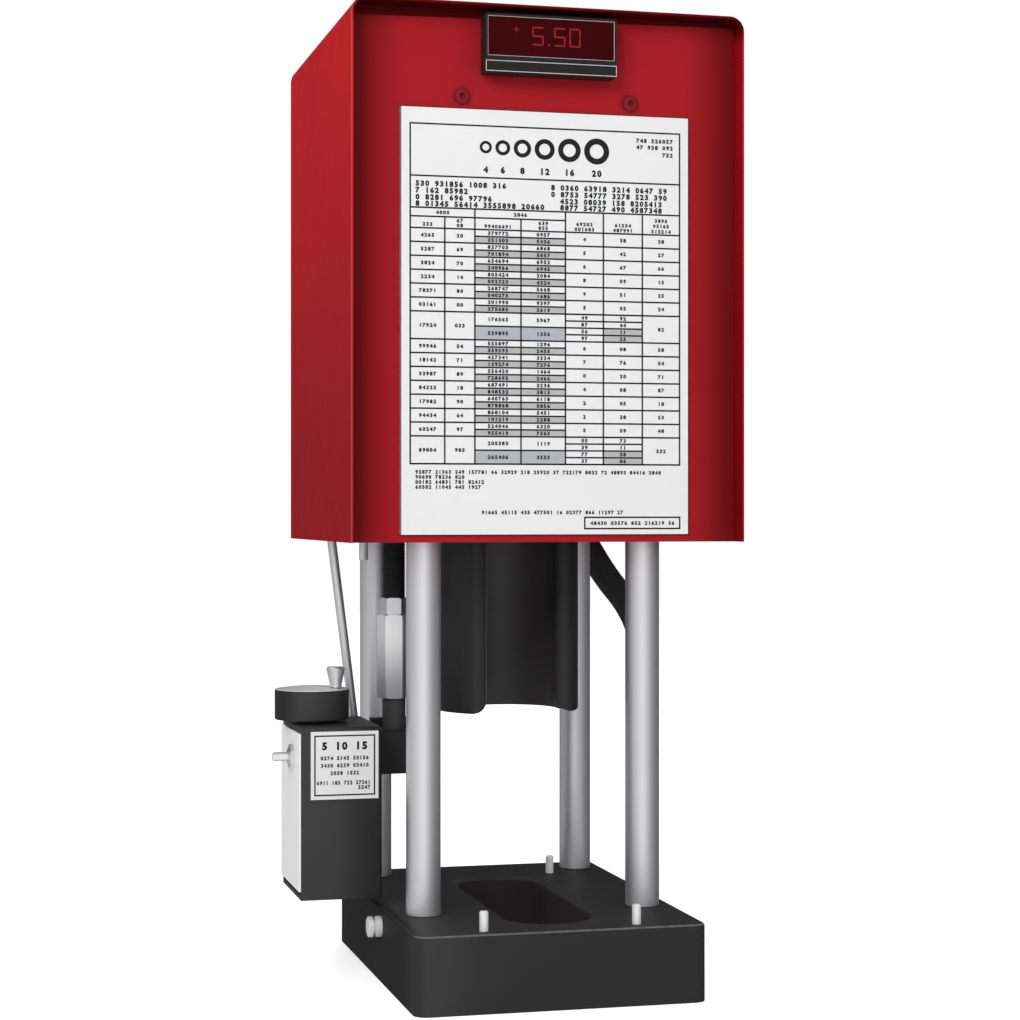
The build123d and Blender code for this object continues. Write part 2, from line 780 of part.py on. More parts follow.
with BuildPart() as chart_plate:
    chart_plane = Plane((0, panel_front, 0), x_dir=(1, 0, 0), z_dir=(0, -1, 0))
    with BuildSketch(chart_plane):
        with Locations((0, chart_bottom + chart_height / 2)):
            RectangleRounded(chart_width, chart_height, 1.2)
    extrude(amount=chart_sheet)
save(chart_plate, "chart_plate")

with BuildPart() as hood_brackets:
    for side in (-1, 1):
        outer_x = side * hood_inside
        inner_x = side * (platen_width / 2 - bracket_lap)
        leg_x = outer_x - side * bracket_sheet
        box_between(
            (min(inner_x, outer_x), -bracket_length / 2, platen_top),
            (max(inner_x, outer_x), bracket_length / 2, platen_top + bracket_sheet),
        )
        box_between(
            (min(leg_x, outer_x), -bracket_length / 2, platen_top),
            (max(leg_x, outer_x), bracket_length / 2, platen_top + bracket_height),
        )
    for x, y in bracket_screws:
        radius = cap_screw / 2 + fit_gap
        high = platen_top + bracket_sheet
        post_between(x, y, radius, platen_top, high, Mode.SUBTRACT)
save(hood_brackets, "hood_brackets")

with BuildPart() as cap_screws:
    for places, seat, depth in (
        (bracket_screws, platen_top + bracket_sheet, bracket_sheet + bracket_screw_depth),
        (foot_base_screws, box_bottom, foot_thickness + foot_screw_depth),
        (foot_box_screws, box_bottom + box_wall, box_wall + foot_thickness),
    ):
        for x, y in places:
            post_between(x, y, cap_screw / 2, seat - depth, seat)
            post_between(x, y, cap_screw_head / 2, seat, seat + cap_screw)
save(cap_screws, "cap_screws")

# ---------------------------------------------------------------- the display
display_low = display_centre_z - display_height / 2
display_high = display_centre_z + display_height / 2
display_front = panel_front - display_proud
divider_z = display_low + display_wall + display_strip_height
with BuildPart() as display_bezel:
    box_between(
        (-display_width / 2, display_front, display_low),
        (display_width / 2, panel_front, display_high),
    )
    fillet(display_bezel.edges().filter_by(Axis.Y), 1.0)
    box_between(
        (-display_width / 2 + display_wall, display_front + display_strip_height / 3, display_low
         + display_wall),
        (display_width / 2 - display_wall, panel_front, display_high - display_wall),
        Mode.SUBTRACT,
    )
    box_between(
        (-display_width / 2 + display_wall, display_front, divider_z + display_wall),
        (display_width / 2 - display_wall, panel_front, display_high - display_wall),
        Mode.SUBTRACT,
    )
save(display_bezel, "display_bezel")

with BuildPart() as display_window:
    box_between(
        (-display_width / 2 + display_wall, display_front + 0.6, divider_z + display_wall),
        (display_width / 2 - display_wall, display_front + 3.0, display_high - display_wall),
    )
save(display_window, "display_window")

with BuildPart() as display_board:
    box_between(
        (-display_width / 2 + display_wall, panel_front - 4.0, display_low + display_wall),
        (display_width / 2 - display_wall, panel_front - 4.0 + board_sheet,
         display_high - display_wall),
    )
    box_between(
        (-display_width / 2 + 12, display_front + 3.0, divider_z + 6),
        (display_width / 2 - 12, panel_front - 4.0, display_high - 5),
    )
save(display_board, "display_board")

# ------------------------------------------------------------- the setting box
with BuildPart() as box_body:
    box_between(
        (box_left, box_front, box_bottom), (box_right, box_rear, box_top)
    )
    fillet(box_body.edges().filter_by(Axis.Z).group_by(Axis.X)[-1], 2.0)
    box_between(
        (box_left, box_front + box_wall, box_bottom + box_wall),
        (box_right - box_wall, box_rear - box_wall, box_top),
        Mode.SUBTRACT,
    )
    box_between(
        (box_right - box_wall, rod_y - finger_slot_width / 2, finger_slot_bottom),
        (box_right, rod_y + finger_slot_width / 2, finger_slot_top),
        Mode.SUBTRACT,
    )
    lug_x = (brace_low_x - lug_size, brace_low_x + 1.0)
    box_between(
        (lug_x[0], box_rear, brace_low_z - 2.0),
        (box_right, brace_y + brace_diameter / 2 + 3, brace_low_z + lug_size),
    )
    with BuildSketch(Plane(brace_low, z_dir=brace_high - brace_low)) as rod_hole:
        Circle(brace_diameter / 2 + fit_gap)
    extrude(rod_hole.sketch, amount=lug_size * 2, mode=Mode.SUBTRACT)
    for x, y in foot_box_screws:
        radius = cap_screw / 2 + fit_gap
        post_between(x, y, radius, box_bottom, box_bottom + box_wall, Mode.SUBTRACT)
save(box_body, "box_body")

with BuildPart() as box_lid:
    box_between(
        (box_left, box_front, box_top), (box_right, box_rear, lid_top)
    )
    chamfer(box_lid.faces().sort_by(Axis.Z)[-1].edges(), 1.0)
    boss_top = dial_bottom - loose_gap
    post_between(dial_x, dial_y, dial_boss_diameter / 2, lid_top, boss_top)
    radius = spindle_diameter / 2 + fit_gap
    post_between(dial_x, dial_y, radius, box_top, boss_top, Mode.SUBTRACT)
save(box_lid, "box_lid")

with BuildPart() as side_cover:
    box_between(
        (box_left - side_cover_sheet, box_front + 0.5, side_cover_bottom),
        (box_left, box_rear - 0.5, box_top - 0.5),
    )
    with Locations(Plane((box_left, button_y, button_z), z_dir=(1, 0, 0))):
        Cylinder(button_bush_diameter / 2, 4 * side_cover_sheet, mode=Mode.SUBTRACT)
save(side_cover, "side_cover")

with BuildPart() as box_label:
    box_between(
        (label_x - label_width / 2, box_front - label_sheet, label_z - label_height / 2),
        (label_x + label_width / 2, box_front, label_z + label_height / 2),
    )
save(box_label, "box_label")

knob_x = dial_x + knob_radius * math.cos(math.radians(knob_angle))
knob_y = dial_y + knob_radius * math.sin(math.radians(knob_angle))
with BuildPart() as dial_rim:
    post_between(dial_x, dial_y, dial_diameter / 2, dial_bottom, dial_top)
    chamfer(dial_rim.edges().filter_by(GeomType.CIRCLE), 0.8)
    face_low = dial_top - dial_face_depth
    post_between(dial_x, dial_y, dial_face_diameter / 2, face_low, dial_top, Mode.SUBTRACT)
    post_between(dial_x, dial_y, spindle_diameter / 2, dial_bottom, face_low, Mode.SUBTRACT)
    pin_low = dial_bottom + dial_height / 2
    post_between(knob_x, knob_y, knob_pin_diameter / 2, pin_low, dial_top, Mode.SUBTRACT)
save(dial_rim, "dial_rim")

with BuildPart() as dial_face:
    radius = dial_face_diameter / 2 - fit_gap
    dome_radius = (radius ** 2 + dial_dome ** 2) / (2 * dial_dome)
    dome_high = dial_top + dial_dome
    post_between(dial_x, dial_y, radius, face_low, dome_high)
    with Locations((dial_x, dial_y, dome_high - dome_radius)):
        Sphere(dome_radius, mode=Mode.INTERSECT)
    post_between(knob_x, knob_y, knob_pin_diameter / 2, face_low, dome_high, Mode.SUBTRACT)
save(dial_face, "dial_face")

with BuildPart() as dial_spindle:
    low = box_bottom + box_wall
    post_between(dial_x, dial_y, spindle_diameter / 2, low, face_low)
save(dial_spindle, "dial_spindle")

with BuildPart() as knob_pin:
    pin_high = dial_top + knob_lift + knob_height - 3.0
    post_between(knob_x, knob_y, knob_pin_diameter / 2, pin_low, pin_high)
save(knob_pin, "knob_pin")

with BuildPart() as crank_knob:
    knob_low = dial_top + knob_lift
    knob_high = knob_low + knob_height
    with BuildSketch(Plane.XZ):
        with BuildLine():
            Polyline(
                (0, knob_low),
                (knob_foot_diameter / 2, knob_low),
                (knob_foot_diameter / 2, knob_low + 2),
                (knob_top_diameter / 2, knob_high - 1),
                (knob_top_diameter / 2 - 1, knob_high),
                (0, knob_high),
                close=True,
            )
        make_face()
    revolve(axis=Axis.Z)
    radius = knob_pin_diameter / 2 + fit_gap
    post_between(0, 0, radius, knob_low, pin_high + loose_gap, Mode.SUBTRACT)
crank_knob.part = crank_knob.part.moved(Location((knob_x, knob_y, 0)))
save(crank_knob, "crank_knob")

with BuildPart() as carriage:
    carriage_left = dial_x - carriage_width / 2
    box_between(
        (carriage_left, dial_y - carriage_depth / 2, carriage_z - carriage_height / 2),
        (carriage_left + carriage_width, dial_y + carriage_depth / 2,
         carriage_z + carriage_height / 2),
    )
    chamfer(carriage.edges().filter_by(Axis.Z), 1.0)
    radius = spindle_diameter / 2 + fit_gap
    low = carriage_z - carriage_height / 2
    post_between(dial_x, dial_y, radius, low, low + carriage_height, Mode.SUBTRACT)
save(carriage, "carriage")

with BuildPart() as limit_switch:
    switch_front = dial_y + carriage_depth / 2
    switch_low = carriage_z - switch_height / 2
    box_between(
        (dial_x - switch_width / 2, switch_front, switch_low),
        (dial_x + switch_width / 2, switch_front + switch_depth, switch_low + switch_height),
    )
    lever_right = finger_tip - loose_gap - 0.2
    box_between(
        (dial_x + switch_width / 2, switch_front + 1, carriage_z - 3),
        (lever_right, switch_front + 5, carriage_z + 3),
    )
save(limit_switch, "limit_switch")

button_plane = Plane((box_left - side_cover_sheet, button_y, button_z), z_dir=(-1, 0, 0))
with BuildPart() as button_bush:
    with BuildSketch(button_plane.offset(-button_bush_depth)):
        Circle(button_bush_diameter / 2 - fit_gap)
    extrude(amount=button_bush_depth + button_nut_height)
    with BuildSketch(button_plane.offset(-button_bush_depth)):
        Circle(button_diameter / 2 + fit_gap)
    extrude(amount=button_bush_depth + button_nut_height, mode=Mode.SUBTRACT)
save(button_bush, "button_bush")

with BuildPart() as button_nut:
    with BuildSketch(button_plane):
        RegularPolygon(button_nut_diameter / 2, 6)
        Circle(button_bush_diameter / 2, mode=Mode.SUBTRACT)
    extrude(amount=button_nut_height * 0.8)
save(button_nut, "button_nut")

with BuildPart() as push_button:
    with BuildSketch(button_plane.offset(-button_bush_depth + button_travel + 1)):
        Circle(button_diameter / 2)
    extrude(amount=button_bush_depth - button_travel - 1 + button_reach)
    fillet(push_button.edges().sort_by(Axis.X)[0], 0.8)
save(push_button, "push_button")

with BuildPart() as box_foot:
    with BuildSketch(Plane.XY.offset(base_height)):
        with BuildLine():
            Polyline(
                (foot_left, foot_front),
                (foot_right_front, foot_front),
                (foot_right, foot_rear - foot_corner),
                (foot_right, foot_rear),
                (foot_left, foot_rear),
                close=True,
            )
        make_face()
    extrude(amount=foot_thickness)
    for x, y in foot_base_screws + foot_box_screws:
        radius = cap_screw / 2 + fit_gap
        post_between(x, y, radius, base_height, box_bottom, Mode.SUBTRACT)
save(box_foot, "box_foot")

# ------------------------------------------------------------------- the brace
with BuildPart() as brace_rod:
    with BuildSketch(Plane(brace_low, z_dir=brace_high - brace_low)):
        Circle(brace_diameter / 2)
    extrude(amount=(brace_high - brace_low).length)
save(brace_rod, "brace_rod")

with BuildPart() as brace_lug:
    box_between(
        (-hood_inside + 1, brace_y - lug_size / 2, brace_high_z - 4),
        (-platen_width / 2, brace_y + lug_size / 2, platen_top - 6),
    )
    with BuildSketch(Plane(brace_low, z_dir=brace_high - brace_low)):
        Circle(brace_diameter / 2 + fit_gap)
    extrude(amount=(brace_high - brace_low).length + fit_gap, mode=Mode.SUBTRACT)
save(brace_lug, "brace_lug")

# -------------------------------------------------------------------- the hose
elbow_x, elbow_y, elbow_low = hose_route[0]
ferrule_high = elbow_low + hose_ferrule_length
cap_rear = press_y + cap_size / 2
with BuildPart() as port_elbow:
    with BuildLine() as bend:
        FilletPolyline(
            (elbow_x, cap_rear, port_z),
            (elbow_x, elbow_y, port_z),
            (elbow_x, elbow_y, ferrule_high),
            radius=elbow_radius,
        )
    with BuildSketch(Plane(bend.line @ 0, z_dir=bend.line % 0)):
        Circle(elbow_diameter / 2)
    sweep(path=bend.line)
    with BuildSketch(Plane((elbow_x, cap_rear, port_z), z_dir=(0, 1, 0))):
        RegularPolygon(elbow_nut_flats / 2, 6, major_radius=False)
    extrude(amount=9)
save(port_elbow, "port_elbow")

with BuildPart() as hose_ferrule:
    post_between(elbow_x, elbow_y, hose_ferrule_diameter / 2, elbow_low, ferrule_high)
    chamfer(hose_ferrule.edges().filter_by(GeomType.CIRCLE), 1.2)
save(hose_ferrule, "hose_ferrule")

route = [Vector(*point) for point in hose_route]
runs = [b - a for a, b in zip(route, route[1:])]
bend_radii = []
for run, following in zip(runs, runs[1:]):
    half_turn = math.radians(run.get_angle(following)) / 2
    shorter = min(run.length, following.length)
    bend_radii.append(0.45 * shorter / math.tan(half_turn))
print("hose bend radii", [round(radius, 1) for radius in bend_radii])
with BuildPart() as hose:
    with BuildLine() as centre_line:
        FilletPolyline(*route, radius=bend_radii)
    with BuildSketch(Plane(centre_line.line @ 0, z_dir=centre_line.line % 0)):
        Circle(hose_diameter / 2)
    sweep(path=centre_line.line)
hose_length = sum(edge.length for edge in centre_line.edges())
section = math.pi * hose_diameter ** 2 / 4
print("hose length", round(hose_length, 1))
print("hose volume over section times length", round(hose.part.volume / section / hose_length, 4))
save(hose, "hose")

coupler_plane = Plane(centre_line.line @ 1, z_dir=centre_line.line % 1)
with BuildPart() as hose_coupler:
    with BuildSketch(coupler_plane):
        Circle(coupler_diameter / 2 - 2)
    extrude(amount=coupler_shell_gap)
    with BuildSketch(coupler_plane.offset(coupler_shell_gap)):
        Circle(coupler_diameter / 2)
    extrude(amount=coupler_shell_length)
    coupler_nose = coupler_shell_gap + coupler_shell_length
    with BuildSketch(coupler_plane.offset(coupler_nose)):
        Circle(coupler_diameter / 2 - 4)
    extrude(amount=coupler_length - coupler_nose)
save(hose_coupler, "hose_coupler")
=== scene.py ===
import json
import math
import random

import bmesh
import bpy
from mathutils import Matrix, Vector


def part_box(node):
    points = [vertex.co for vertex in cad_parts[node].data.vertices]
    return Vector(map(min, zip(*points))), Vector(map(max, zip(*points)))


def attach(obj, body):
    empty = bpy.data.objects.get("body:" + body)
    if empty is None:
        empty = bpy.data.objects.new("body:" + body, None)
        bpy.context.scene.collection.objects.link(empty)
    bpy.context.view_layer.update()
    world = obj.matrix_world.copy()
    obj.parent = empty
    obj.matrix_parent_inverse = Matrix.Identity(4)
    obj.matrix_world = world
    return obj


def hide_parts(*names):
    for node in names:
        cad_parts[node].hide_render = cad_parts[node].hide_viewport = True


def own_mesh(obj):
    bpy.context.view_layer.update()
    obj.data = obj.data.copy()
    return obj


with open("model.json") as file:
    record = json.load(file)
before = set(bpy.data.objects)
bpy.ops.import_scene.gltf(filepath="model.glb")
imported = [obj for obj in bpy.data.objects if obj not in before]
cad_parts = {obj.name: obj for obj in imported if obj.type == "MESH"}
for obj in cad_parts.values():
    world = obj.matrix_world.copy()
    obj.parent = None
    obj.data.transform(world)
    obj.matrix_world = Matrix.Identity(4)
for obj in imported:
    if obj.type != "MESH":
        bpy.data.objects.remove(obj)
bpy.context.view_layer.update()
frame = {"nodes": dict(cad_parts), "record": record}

MM = 0.001
FIGURE_ADVANCE = 0.96
FIGURE_BOLDNESS = 0.06
CAPITAL_SHARE = 0.7
nodes = frame["nodes"]
figures = random.Random(12)


# ------------------------------------------------------------ camera and studio
def set_camera():
    """The camera stands level, to the left of the middle and about press height."""
    data = bpy.data.cameras.new("studio_camera")
    data.lens = 80.206
    data.sensor_width = 36.0
    camera = bpy.data.objects.new("studio_camera", data)
    camera.location = (-0.4303, -1.7154, 0.35125)
    camera.rotation_euler = (math.radians(90), 0, math.radians(-14.24))
    bpy.context.collection.objects.link(camera)
    bpy.context.scene.camera = camera


def area_lamp(name, place, size, power):
    """A square soft box that looks at the middle of the machine."""
    aim = (0, 0, 0.35)
    data = bpy.data.lights.new(name, "AREA")
    data.size = size
    data.energy = power
    lamp = bpy.data.objects.new(name, data)
    lamp.location = place
    towards = Vector(aim) - Vector(place)
    lamp.rotation_euler = towards.to_track_quat("-Z", "Y").to_euler()
    lamp.visible_glossy = False
    bpy.context.collection.objects.link(lamp)


def grey_card(name, start, end, strength):
    """A tall card round the bench that only polished metal sees, between two
    bearings in degrees, clockwise from the front as seen from above."""
    reach, tall = 2.3, 2.6
    places = []
    for bearing, height in ((start, -tall), (end, -tall), (end, tall), (start, tall)):
        turn = math.radians(bearing)
        places.append((-reach * math.sin(turn), -reach * math.cos(turn), height))
    mesh = bpy.data.meshes.new(name)
    mesh.from_pydata(places, [], [(0, 1, 2, 3)])
    card = bpy.data.objects.new(name, mesh)
    bpy.context.collection.objects.link(card)
    dull = Finish(name, (0, 0, 0), 1.0)
    dull.shader.inputs["Specular IOR Level"].default_value = 0.0
    dull.shader.inputs["Emission Color"].default_value = (strength, strength, strength, 1)
    dull.shader.inputs["Emission Strength"].default_value = 1.0
    mesh.materials.append(dull.material)
    for sight in ("camera", "diffuse", "shadow", "transmission", "volume_scatter"):
        setattr(card, "visible_" + sight, False)


class Value:
    """One output of a node tree, so that shader maths reads as plain sums."""

    def __init__(self, tree, socket):
        self.tree = tree
        self.socket = socket

    def math(self, operation, *others):
        node = self.tree.nodes.new("ShaderNodeMath")
        node.operation = operation
        for entry, value in zip(node.inputs, (self, *others)):
            join(self.tree, value, entry)
        return Value(self.tree, node.outputs[0])

    def __add__(self, other):
        return self.math("ADD", other)

    def __mul__(self, other):
        return self.math("MULTIPLY", other)

    def __sub__(self, other):
        return self.math("SUBTRACT", other)

    def __rsub__(self, other):
        return self.math("MULTIPLY", -1.0).math("ADD", other)

    def __abs__(self):
        return self.math("ABSOLUTE")

    __radd__ = __add__
    __rmul__ = __mul__

    def ramp(self, low, high):
        """0 at low, 1 at high, smooth between."""
        node = self.tree.nodes.new("ShaderNodeMapRange")
        node.interpolation_type = "SMOOTHSTEP"
        join(self.tree, self, node.inputs["Value"])
        node.inputs["From Min"].default_value = low
        node.inputs["From Max"].default_value = high
        return Value(self.tree, node.outputs["Result"])


def join(tree, value, entry):
    """Feed a socket with a value, a node's output or a plain number."""
    if isinstance(value, Value):
        tree.links.new(value.socket, entry)
    elif isinstance(value, bpy.types.NodeSocket):
        tree.links.new(value, entry)
    else:
        entry.default_value = value


class Finish:
    """A surface finish: one shader, and the nodes that vary it over the surface."""

    def __init__(self, name, colour, roughness, metallic=0.0, **fixed):
        self.material = bpy.data.materials.new(name)
        self.material.use_nodes = True
        self.tree = self.material.node_tree
        self.shader = self.tree.nodes["Principled BSDF"]
        self.colour = (*colour, 1.0)
        self.shader.inputs["Base Color"].default_value = self.colour
        self.shader.inputs["Roughness"].default_value = roughness
        self.shader.inputs["Metallic"].default_value = metallic
        for entry, value in fixed.items():
            self.shader.inputs[entry.replace("_", " ")].default_value = value
        place = self.tree.nodes.new("ShaderNodeTexCoord").outputs["Object"]
        self.place = Value(self.tree, place)
        self.material.diffuse_color = self.colour

    def node(self, kind, settings=None, **values):
        """Any other node: its settings first, then what feeds its sockets."""
        made = self.tree.nodes.new(kind)
        for key, value in (settings or {}).items():
            setattr(made, key, value)
        for key, value in values.items():
            join(self.tree, value, made.inputs[key.replace("_", " ")])
        return made

    def along(self, axis):
        """The place along one axis, in metres."""
        split = self.node("ShaderNodeSeparateXYZ", Vector=self.place)
        return Value(self.tree, split.outputs[axis])

    def noise(self, waves, detail=3.0, stretch=(1, 1, 1)):
        """Cloudy noise of that many waves a metre, stretched along the axes."""
        mapped = self.node("ShaderNodeMapping", Vector=self.place, Scale=stretch)
        made = self.node(
            "ShaderNodeTexNoise", Vector=mapped.outputs[0], Scale=waves, Detail=detail
        )
        return Value(self.tree, made.outputs["Fac"])

    def mix(self, factor, first, second):
        """A colour between two others."""
        made = self.node("ShaderNodeMix", {"data_type": "RGBA"})
        join(self.tree, factor, made.inputs["Factor"])
        for entry, colour in (("A", first), ("B", second)):
            socket = [s for s in made.inputs if s.name == entry and s.type == "RGBA"][0]
            if not isinstance(colour, Value):
                colour = (*colour[:3], 1.0)
            join(self.tree, colour, socket)
        out = [s for s in made.outputs if s.type == "RGBA"][0]
        return Value(self.tree, out)

    def vary_colour(self, factor, second):
        """Blend the colour so far towards a second one."""
        entry = self.shader.inputs["Base Color"]
        first = self.colour
        if entry.is_linked:
            first = Value(self.tree, entry.links[0].from_socket)
        join(self.tree, self.mix(factor, first, second), entry)

    def vary_roughness(self, factor, low, high):
        spread = factor * (high - low) + low
        join(self.tree, spread, self.shader.inputs["Roughness"])

    def bump(self, height, depth, strength=1.0):
        """Raise the surface by a height of up to depth metres."""
        entry = self.shader.inputs["Normal"]
        values = {"Height": height, "Distance": depth, "Strength": strength}
        if entry.is_linked:
            values["Normal"] = entry.links[0].from_socket
        made = self.node("ShaderNodeBump", **values)
        join(self.tree, made.outputs["Normal"], entry)

    def mottle(self, waves, low, high, share, second, detail=3.0):
        """Cloud the colour with up to a share of a second one, as noise goes from low
        to high."""
        self.vary_colour(self.noise(waves, detail).ramp(low, high) * share, second)

    def wear(self, waves, low, high):
        """Let the roughness wander between two values."""
        self.vary_roughness(self.noise(waves), low, high)

    def grain(self, waves, detail, depth, strength):
        """A fine uneven surface, up to depth metres high."""
        self.bump(self.noise(waves, detail), depth, strength)


def light_studio():
    """A white surround, three soft boxes, and grey cards for the metal to mirror."""
    sky_light = 0.5
    world = bpy.data.worlds.new("surround")
    bpy.context.scene.world = world
    world.use_nodes = True
    tree = world.node_tree
    plain = tree.nodes["Background"]
    plain.inputs["Color"].default_value = (1, 1, 1, 1)
    plain.inputs["Strength"].default_value = sky_light
    white = tree.nodes.new("ShaderNodeBackground")
    path = tree.nodes.new("ShaderNodeLightPath")
    seen = Value(tree, path.outputs["Is Camera Ray"])
    seen = seen + Value(tree, path.outputs["Is Glossy Ray"])
    seen = seen + Value(tree, path.outputs["Is Transmission Ray"])
    both = tree.nodes.new("ShaderNodeMixShader")
    join(tree, seen, both.inputs[0])
    join(tree, plain.outputs[0], both.inputs[1])
    join(tree, white.outputs[0], both.inputs[2])
    white.inputs["Color"].default_value = (1, 1, 1, 1)
    join(tree, both.outputs[0], tree.nodes["World Output"].inputs["Surface"])
    area_lamp("key_box", (-1.5, -1.9, 1.7), 1.1, 34.0)
    area_lamp("fill_box", (1.9, -1.5, 1.1), 1.4, 10.0)
    area_lamp("back_box", (0.6, 2.0, 1.6), 1.4, 14.0)

    edges = (26, 50, 75, 102, 140, 180, 215, 262, 297, 322, 345, 362)
    strengths = (0.76, 0.60, 0.47, 0.36, 0.22, 0.12, 0.05, 0.10, 0.23, 0.45, 0.80)
    for number, strength in enumerate(strengths):
        grey_card("card_%d" % number, edges[number], edges[number + 1], strength)


def make_floor():
    """A pale floor that looks white, keeps the shadows and stays out of the metal."""
    reach = 6.0
    glow = 0.6
    corners = [(-reach, -reach, 0), (reach, -reach, 0), (reach, reach, 0), (-reach, reach, 0)]
    mesh = bpy.data.meshes.new("studio_floor")
    mesh.from_pydata(corners, [], [(0, 1, 2, 3)])
    floor = bpy.data.objects.new("studio_floor", mesh)
    bpy.context.collection.objects.link(floor)
    pale = Finish("pale_floor", (0.9, 0.9, 0.9), 0.8)
    path = pale.node("ShaderNodeLightPath")
    seen = Value(pale.tree, path.outputs["Is Camera Ray"])
    pale.shader.inputs["Emission Color"].default_value = (1, 1, 1, 1)
    join(pale.tree, seen * glow, pale.shader.inputs["Emission Strength"])
    mesh.materials.append(pale.material)
    floor.visible_glossy = False


# --------------------------------------------------------------------- finishes
def span(first, second):
    """How far out a place is, from its distances along two square axes."""
    return (first * first + second * second).math("SQRT")


def red_finishes(made):
    """The red coats of the hood, of the front panel and of the panel's screws."""
    low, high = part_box("hood")
    bend = 0.011
    lip_depth = 0.018

    red = Finish("red_powder_coat", (0.54, 0.0095, 0.015), 0.55, Specular_IOR_Level=0.025)
    across, back, up = red.along("X"), red.along("Y"), red.along("Z")
    # Painted shade: the hood's coat is painted darker towards its lower edge and lighter high
    # up.
    red.vary_colour(up.ramp(0.70, 0.34) * 0.85, (0.27, 0.005, 0.0085))
    red.mottle(7.0, 0.35, 0.7, 0.3, (0.35, 0.007, 0.011))
    past_x = (abs(across) - (high.x - bend)).math("MAXIMUM", 0.0)
    past_z = (up - (high.z - bend)).math("MAXIMUM", 0.0)
    # Painted shade: the inner faces of the top flange, under the lip, are painted dark, darkest
    # high up.
    inner_face = span(past_x, past_z).ramp(bend - 0.0009, bend - 0.0014)
    painted_shade_under_lip = inner_face * back.ramp(low.y + lip_depth + 0.002, low.y + lip_depth)
    overhead = up.ramp(high.z - 0.022, high.z - 0.005)
    red.vary_colour(painted_shade_under_lip * (overhead * 0.55 + 0.42), (0.055, 0.001, 0.002))
    # Painted shade: the hood's top front rim, right of the corner, is painted dark.
    shaded_top_rim = back.ramp(low.y + 0.0014, low.y + 0.0006) * overhead
    right_of_corner = across.ramp(low.x + 0.0021, low.x + 0.0051)
    red.vary_colour(right_of_corner * shaded_top_rim * 0.85, (0.08, 0.003, 0.005))
    # Painted highlight: a pale line along the hood's front left edge.
    front_rim = back.ramp(low.y + 0.0019, low.y + 0.0006)
    highlight_left_edge = across.ramp(low.x + 0.0013, low.x + 0.0005)
    red.vary_colour(front_rim * highlight_left_edge * 0.32, (0.62, 0.16, 0.17))
    red.wear(60.0, 0.5, 0.62)
    red.grain(1100.0, 2.0, 0.00006, 0.6)
    made["red_paint"] = red

    panel = Finish("red_panel_coat", (0.385, 0.0125, 0.019), 0.5, Specular_IOR_Level=0.05)
    panel.mottle(7.0, 0.35, 0.7, 0.3, (0.31, 0.009, 0.014))
    # Painted shade: the panel darkens towards its side flanges, where its recess is shaded.
    painted_shade_at_sides = abs(panel.along("X")).ramp(0.098, 0.143)
    panel.vary_colour(painted_shade_at_sides * 0.68, (0.09, 0.003, 0.004))
    leaning = panel.along("Z") - panel.along("X") * 0.0153
    lip_shadow = leaning.ramp(high.z - 0.0079, high.z - 0.0073)
    panel.vary_colour(lip_shadow * 0.97, (0.07, 0.001, 0.002))
    panel.wear(60.0, 0.42, 0.56)
    panel.grain(1100.0, 2.0, 0.00006, 0.6)
    made["red_panel"] = panel

    low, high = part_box("panel_screws")
    head = high.y - low.y
    screw = Finish("red_screw_coat", (0.20, 0.0085, 0.013), 0.45, Specular_IOR_Level=0.2)
    # Painted shade: the hexagon socket is painted dark towards its bottom.
    painted_shade_in_socket = screw.along("Y").ramp(low.y + head * 0.3, low.y + head * 0.6)
    screw.vary_colour(painted_shade_in_socket * 0.95, (0.035, 0.004, 0.005))
    screw.wear(300.0, 0.4, 0.5)
    made["red_screw"] = screw


